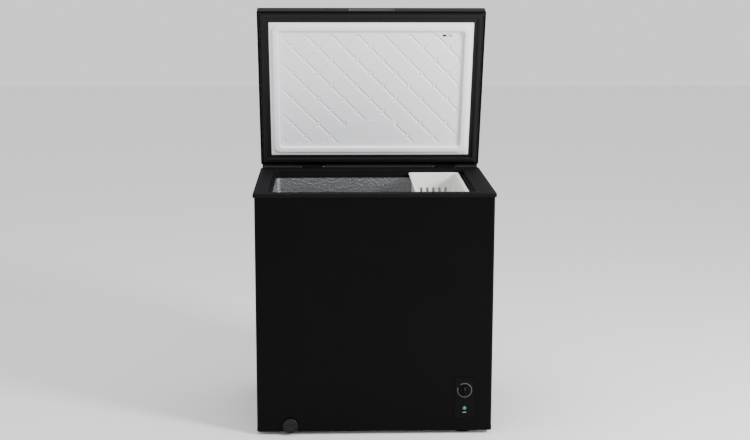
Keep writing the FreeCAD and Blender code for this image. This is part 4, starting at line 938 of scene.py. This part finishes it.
def quilt_tree(tree, given):
    """Diamond pads with rounded corners, parted by narrow grooves that stop short of the crossings."""
    grid = node(tree, "GeometryNodeMeshGrid", {
        "Size X": given["Width"], "Size Y": given["Depth"],
        "Vertices X": given["Across"], "Vertices Y": given["Along"]})
    middle = node(tree, COMBINE, {"Y": given["Middle"], "Z": given["Height"]})
    laid = node(tree, "GeometryNodeTransform", {"Geometry": grid, "Translation": middle})
    place = node(tree, "ShaderNodeSeparateXYZ", {0: node(tree, "GeometryNodeInputPosition")})
    x, y = place.outputs["X"], place.outputs["Y"]

    from_start = node(tree, MATH, {0: x, 1: given["Start X"]}, operation="SUBTRACT")
    across = node(tree, MATH, {0: from_start, 1: given["Pad Width"]}, operation="DIVIDE")
    from_row = node(tree, MATH, {0: y, 1: given["Start Y"]}, operation="SUBTRACT")
    along = node(tree, MATH, {0: from_row, 1: given["Pad Depth"]}, operation="DIVIDE")
    powers = []
    for operation in ("ADD", "SUBTRACT"):
        diagonal = node(tree, MATH, {0: across, 1: along}, operation=operation)
        nearest = node(tree, MATH, {0: diagonal}, operation="ROUND")
        offset = node(tree, MATH, {0: diagonal, 1: nearest}, operation="SUBTRACT")
        size = node(tree, MATH, {0: offset}, operation="ABSOLUTE")
        doubled = node(tree, MATH, {0: size, 1: 2.0}, operation="MULTIPLY")
        powers.append(node(tree, MATH, {0: doubled, 1: given["Squareness"]}, operation="POWER"))
    both = node(tree, MATH, {0: powers[0], 1: powers[1]}, operation="ADD")
    root = node(tree, MATH, {0: 1.0, 1: given["Squareness"]}, operation="DIVIDE")
    distance = node(tree, MATH, {0: both, 1: root}, operation="POWER")
    groove = node(tree, SPREAD, {"Value": distance, "From Min": given["Pad Share"], "From Max": 1.0},
                  interpolation_type="SMOOTHSTEP")
    crossing = node(tree, SPREAD, {"Value": both, "From Min": CROSSING_START, "From Max": CROSSING_END,
                                   "To Min": 1.0, "To Max": 0.0}, interpolation_type="SMOOTHSTEP")

    half_width = node(tree, MATH, {0: given["Width"], 1: 0.5}, operation="MULTIPLY")
    half_depth = node(tree, MATH, {0: given["Depth"], 1: 0.5}, operation="MULTIPLY")
    side = node(tree, MATH, {0: x}, operation="ABSOLUTE")
    edge_x = node(tree, MATH, {0: half_width, 1: side}, operation="SUBTRACT")
    from_middle = node(tree, MATH, {0: y, 1: given["Middle"]}, operation="SUBTRACT")
    row = node(tree, MATH, {0: from_middle}, operation="ABSOLUTE")
    edge_y = node(tree, MATH, {0: half_depth, 1: row}, operation="SUBTRACT")
    edge = node(tree, MATH, {0: edge_x, 1: edge_y}, operation="MINIMUM")
    past_border = node(tree, MATH, {0: edge, 1: given["Border"]}, operation="SUBTRACT")
    inside = node(tree, SPREAD, {"Value": past_border, "From Max": 6 * MM}, interpolation_type="SMOOTHSTEP")

    half_blank = node(tree, MATH, {0: given["Blank Width"], 1: 0.5}, operation="MULTIPLY")
    half_length = node(tree, MATH, {0: given["Blank Depth"], 1: 0.5}, operation="MULTIPLY")
    blank_x = node(tree, MATH, {0: side, 1: half_blank}, operation="SUBTRACT")
    from_blank = node(tree, MATH, {0: y, 1: given["Blank Middle"]}, operation="SUBTRACT")
    blank_row = node(tree, MATH, {0: from_blank}, operation="ABSOLUTE")
    blank_y = node(tree, MATH, {0: blank_row, 1: half_length}, operation="SUBTRACT")
    past_blank = node(tree, MATH, {0: blank_x, 1: blank_y}, operation="MAXIMUM")
    outside = node(tree, SPREAD, {"Value": past_blank, "From Max": 5 * MM}, interpolation_type="SMOOTHSTEP")
    patch = node(tree, SPREAD, {"Value": past_blank, "From Min": -1 * MM, "From Max": 1.5 * MM,
                                "To Min": -0.4 * MM, "To Max": 0.0}, interpolation_type="SMOOTHSTEP")

    depth = given["Groove Depth"]
    for factor in (groove, crossing, inside, outside):
        depth = node(tree, MATH, {0: depth, 1: factor}, operation="MULTIPLY")
    lift = node(tree, MATH, {0: depth, 1: patch}, operation="ADD")
    offset = node(tree, COMBINE, {"Z": lift})
    return node(tree, "GeometryNodeSetPosition", {"Geometry": laid, "Offset": offset})


def quilted_field():
    """The recessed field, closed at the back so that it is a solid sheet."""
    rect = inset(FIELD, 2 * MM)
    width = rect[1] - rect[0]
    depth = rect[3] - rect[2]
    values = {
        "Width": width, "Depth": depth, "Middle": (rect[2] + rect[3]) / 2, "Height": FIELD_Z - PAD_RISE,
        "Across": round(width / GRID_STEP), "Along": round(depth / GRID_STEP),
        "Pad Width": PAD_W, "Pad Depth": PAD_D, "Start X": PAD_SHIFT_X, "Start Y": LID[3] - PAD_ROW_IN,
        "Squareness": 6.0, "Pad Share": 0.87, "Groove Depth": GROOVE_DEPTH, "Border": 8 * MM,
        "Blank Width": BLANK_W, "Blank Middle": LID[3] - (BLANK_IN + BLANK_END) / 2,
        "Blank Depth": BLANK_END - BLANK_IN,
    }
    work = bmesh.new()
    work.from_mesh(grown("quilt", quilt_tree, values, WHITE))
    rim = [e for e in work.edges if e.is_boundary]
    wall = bmesh.ops.extrude_edge_only(work, edges=rim)["geom"]
    back = [v for v in wall if isinstance(v, bmesh.types.BMVert)]
    for vert in back:
        vert.co.z = FIELD_Z + FIELD_BACK
    bmesh.ops.contextual_create(work, geom=[e for e in wall if isinstance(e, bmesh.types.BMEdge)])
    bmesh.ops.recalc_face_normals(work, faces=work.faces)
    mesh = bpy.data.meshes.new("field")
    work.to_mesh(mesh)
    work.free()
    return mesh


def build_lid_panel():
    """Vacuum-formed white panel: flange, raised ring, wall and quilted field."""
    edge = 3 * MM
    ring_rect = inset(PANEL, RING_IN)
    ring_z = LID_Z - RING_DROP
    thick = 2 * MM
    levels = [
        (PANEL, edge, LID_Z + thick),
        (PANEL, edge, LID_Z + 0.6 * MM),
        (inset(PANEL, 0.8 * MM), edge, LID_Z),
        (inset(ring_rect, -2.2 * MM), 26 * MM, LID_Z),
        (inset(ring_rect, -0.8 * MM), 25 * MM, LID_Z - 0.5 * MM),
        (ring_rect, 24 * MM, LID_Z - 1.8 * MM),
        (inset(ring_rect, 1.2 * MM), 23 * MM, ring_z + 1.2 * MM),
        (inset(ring_rect, 2.0 * MM), 22 * MM, ring_z + 0.4 * MM),
        (inset(ring_rect, 3.2 * MM), 21 * MM, ring_z),
        (inset(FIELD, -3.8 * MM), 14 * MM, ring_z),
        (inset(FIELD, -2.4 * MM), 13 * MM, ring_z + 0.5 * MM),
        (inset(FIELD, -1.4 * MM), 12 * MM, ring_z + 1.8 * MM),
        (inset(FIELD, 0.0 * MM), 10 * MM, FIELD_Z - 1.8 * MM),
        (inset(FIELD, 0.7 * MM), 9.5 * MM, FIELD_Z - 0.5 * MM),
        (inset(FIELD, 2.0 * MM), 9 * MM, FIELD_Z),
        (inset(FIELD, 5 * MM), 8 * MM, FIELD_Z + 0.5 * MM),
        (inset(FIELD, 5 * MM), 8 * MM, FIELD_Z + thick),
        (inset(FIELD, -1 * MM), 11 * MM, FIELD_Z + thick),
        (inset(ring_rect, 3 * MM), 22 * MM, ring_z + thick),
        (ring_rect, 24 * MM, LID_Z + thick),
    ]
    mesh = shade(merged([loft(levels, steps=12), quilted_field()]), 60)
    place_lid_mesh("quilted_panel", mesh, WHITE, ["lid_liner"])


LABEL_X = 254 * MM
LABEL_Y = LID[3] - 477 * MM
LABEL_Z = FIELD_Z - PAD_RISE - 0.25 * MM


def label_patch(x0, x1, y0, y1, low=-0.1, high=0.2):
    """A flat patch, given in millimetres from the middle of the label."""
    return block(LABEL_X + x0 * MM, LABEL_X + x1 * MM, LABEL_Y + y0 * MM, LABEL_Y + y1 * MM,
                 LABEL_Z + low * MM, LABEL_Z + high * MM)


def build_label():
    """Blank rating label: a pale plate with dark patches and no text."""
    place_lid_mesh("rating_label", label_patch(-17, 17, -7, 7, 0, 0.6), WHITE)
    dark = merged([label_patch(-15, -3, -3.5, 3.5), label_patch(11, 15, -3.5, 3.5),
                   label_patch(-1, 11, -3.8, -2.2), label_patch(-1, 11, 2.2, 3.8)])
    place_lid_mesh("rating_label_print", dark, BLACK)


# ---------------------------------------------------------------- basket

BASKET_RIM = 9 * MM
BASKET_T = 2.2 * MM
SLOT_W = 9 * MM
SLOT_PITCH = 21 * MM
SLOT_H = 40 * MM
SLOT_ROW_GAP = 14 * MM
SLOT_DROP = 46 * MM
DRAIN_L = 60 * MM
DRAIN_COLUMNS = 5
DRAIN_ROWS = 4
DRAIN_PITCH_X = 24 * MM
DRAIN_PITCH_Y = 88 * MM


def capsule(width, length, deep):
    """Upright slot with round ends, cut along its own Z."""
    rect = (-width / 2, width / 2, -length / 2, length / 2)
    return loft([(rect, 0.499 * width, -deep / 2), (rect, 0.499 * width, deep / 2)], closed=False, steps=5)


def slot_cutters(span, deep, end):
    """Two rows of slots spread evenly over one side."""
    count = int((span - 2 * end) / SLOT_PITCH)
    drop = -SLOT_DROP - SLOT_H / 2
    slot = capsule(SLOT_W, SLOT_H, deep)
    cutters = rows("slots", slot, count, SLOT_PITCH, 2, -(SLOT_H + SLOT_ROW_GAP), BASKET_WHITE)
    return moved(cutters, Matrix.Translation((-(count - 1) * SLOT_PITCH / 2, drop, 0)))


def build_basket():
    """Moulded basket: rolled rim, drafted slotted walls and a slotted floor."""
    outer = rect_of(basket_low, basket_high)
    rest = basket_high.z - BASKET_T
    wall = inset(outer, BASKET_RIM)
    floor = basket_low.z
    draft = 3 * MM
    low_wall = inset(wall, draft)
    levels = [
        (inset(low_wall, 5 * MM), 8 * MM, floor),
        (inset(low_wall, 1.4 * MM), 11 * MM, floor + 1.4 * MM),
        (low_wall, 12 * MM, floor + 5 * MM),
        (wall, 12 * MM, rest),
        (outer, 12 * MM, rest),
        (outer, 12 * MM, rest + BASKET_T),
        (inset(outer, 0.8 * MM), 12 * MM, rest + BASKET_T + 1.4 * MM),
        (inset(outer, 2.2 * MM), 11 * MM, rest + BASKET_T + 1.4 * MM),
        (inset(outer, 3.2 * MM), 10 * MM, rest + BASKET_T),
        (inset(wall, 0.6 * MM), 11 * MM, rest + BASKET_T),
        (inset(wall, BASKET_T), 10 * MM, rest + 0.4 * MM),
        (inset(low_wall, BASKET_T), 10 * MM, floor + 6 * MM),
        (inset(low_wall, BASKET_T + 1.6 * MM), 9 * MM, floor + BASKET_T + 1.2 * MM),
        (inset(low_wall, BASKET_T + 5 * MM), 6 * MM, floor + BASKET_T),
    ]
    tub = loft(levels, closed=False, steps=8)
    cx = (outer[0] + outer[1]) / 2
    cy = (outer[2] + outer[3]) / 2
    wide = outer[1] - outer[0]
    deep = outer[3] - outer[2]
    sides = moved(slot_cutters(deep - 2 * BASKET_RIM, wide, 25 * MM), facing_right(cx, cy, rest))
    ends = moved(slot_cutters(wide - 2 * BASKET_RIM, deep, 20 * MM), facing_front(cx, cy, rest))
    drain = capsule(SLOT_W, DRAIN_L, 20 * MM)
    drains = rows("drains", drain, DRAIN_COLUMNS, DRAIN_PITCH_X, DRAIN_ROWS, DRAIN_PITCH_Y, BASKET_WHITE)
    start = (cx - (DRAIN_COLUMNS - 1) / 2 * DRAIN_PITCH_X, cy - (DRAIN_ROWS - 1) / 2 * DRAIN_PITCH_Y, floor)
    moved(drains, Matrix.Translation(start))
    for cutter in (sides, ends, drains):
        tub = carved(tub, cutter)
    place_mesh("basket_moulding", shade(tub, 35), BASKET_WHITE, "basket", ["basket"])


finish_cad_nodes()
build_collar()
build_base_hem()
build_side_louvres()
build_cover_louvres()
build_cover_screws()
build_hinge_screws()
build_hinge_ears()
for foot_side in ("left", "right"):
    for foot_row in ("front", "rear"):
        build_foot(foot_side, foot_row)
build_faceplate()
build_dial()
build_knob()
build_lamp()
build_drain_cap()
build_lid_frame()
build_lid_gasket()
build_handle()
build_lid_panel()
build_label()
build_basket()


# ---------------------------------------------------------------- studio

FLOOR_HALF = 12.0
WORLD_STRENGTH = 1.1
# name, place and aim in metres, side in metres, watts
LIGHTS = [("key", (2.7, -2.1, 2.3), (0, 0.2, 1.05), 0.8, 190),
          ("top", (-0.6, -0.6, 3.6), (0, 0, 0.8), 1.6, 30)]


def build_studio():
    """A pale floor, an even white world, a key light from the front right and a soft top light."""
    h = FLOOR_HALF
    mesh = bpy.data.meshes.new("floor")
    mesh.from_pydata([(-h, -h, 0), (h, -h, 0), (h, h, 0), (-h, h, 0)], [], [(0, 1, 2, 3)])
    mesh.materials.append(pale_floor())
    floor = bpy.data.objects.new("floor", mesh)
    bpy.context.scene.collection.objects.link(floor)
    world = bpy.data.worlds.new("studio")
    bpy.context.scene.world = world
    world.use_nodes = True
    background = world.node_tree.nodes["Background"]
    background.inputs["Color"].default_value = linear("#ffffff")
    background.inputs["Strength"].default_value = WORLD_STRENGTH
    for name, at, aim, size, watts in LIGHTS:
        light = bpy.data.lights.new(name, "AREA")
        light.size = size
        light.energy = watts
        lamp = bpy.data.objects.new(name, light)
        lamp.location = at
        lamp.rotation_euler = (Vector(aim) - Vector(at)).to_track_quat("-Z", "Y").to_euler()
        bpy.context.scene.collection.objects.link(lamp)


CAMERA_LENS = 66.9
CAMERA_X, CAMERA_BACK, CAMERA_UP = -0.1358, 4.5331, 1.4897
CAMERA_YAW, CAMERA_PITCH, CAMERA_ROLL = -1.827, 10.68, 0.128


def build_camera():
    """Stands 4.5 m in front, a little left, above the open lid's top edge."""
    yaw, pitch, roll = (math.radians(turn) for turn in (CAMERA_YAW, CAMERA_PITCH, CAMERA_ROLL))
    middle = (shell_low.y + shell_high.y) / 2
    place = (CAMERA_X, middle - CAMERA_BACK, shell_low.z + CAMERA_UP)
    across = Vector((math.cos(yaw), math.sin(yaw), 0))
    level = Vector((-math.sin(yaw), math.cos(yaw), 0))
    ahead = level * math.cos(pitch) - Vector((0, 0, math.sin(pitch)))
    up = across.cross(ahead)
    right = across * math.cos(roll) + up * math.sin(roll)
    top = up * math.cos(roll) - across * math.sin(roll)
    camera = bpy.data.cameras.new("camera")
    camera.sensor_width = 36
    camera.lens = CAMERA_LENS
    made = bpy.data.objects.new("camera", camera)
    made.matrix_world = Matrix.Translation(place) @ Matrix((right, top, -ahead)).transposed().to_4x4()
    bpy.context.scene.collection.objects.link(made)
    bpy.context.scene.camera = made


build_studio()
build_camera()
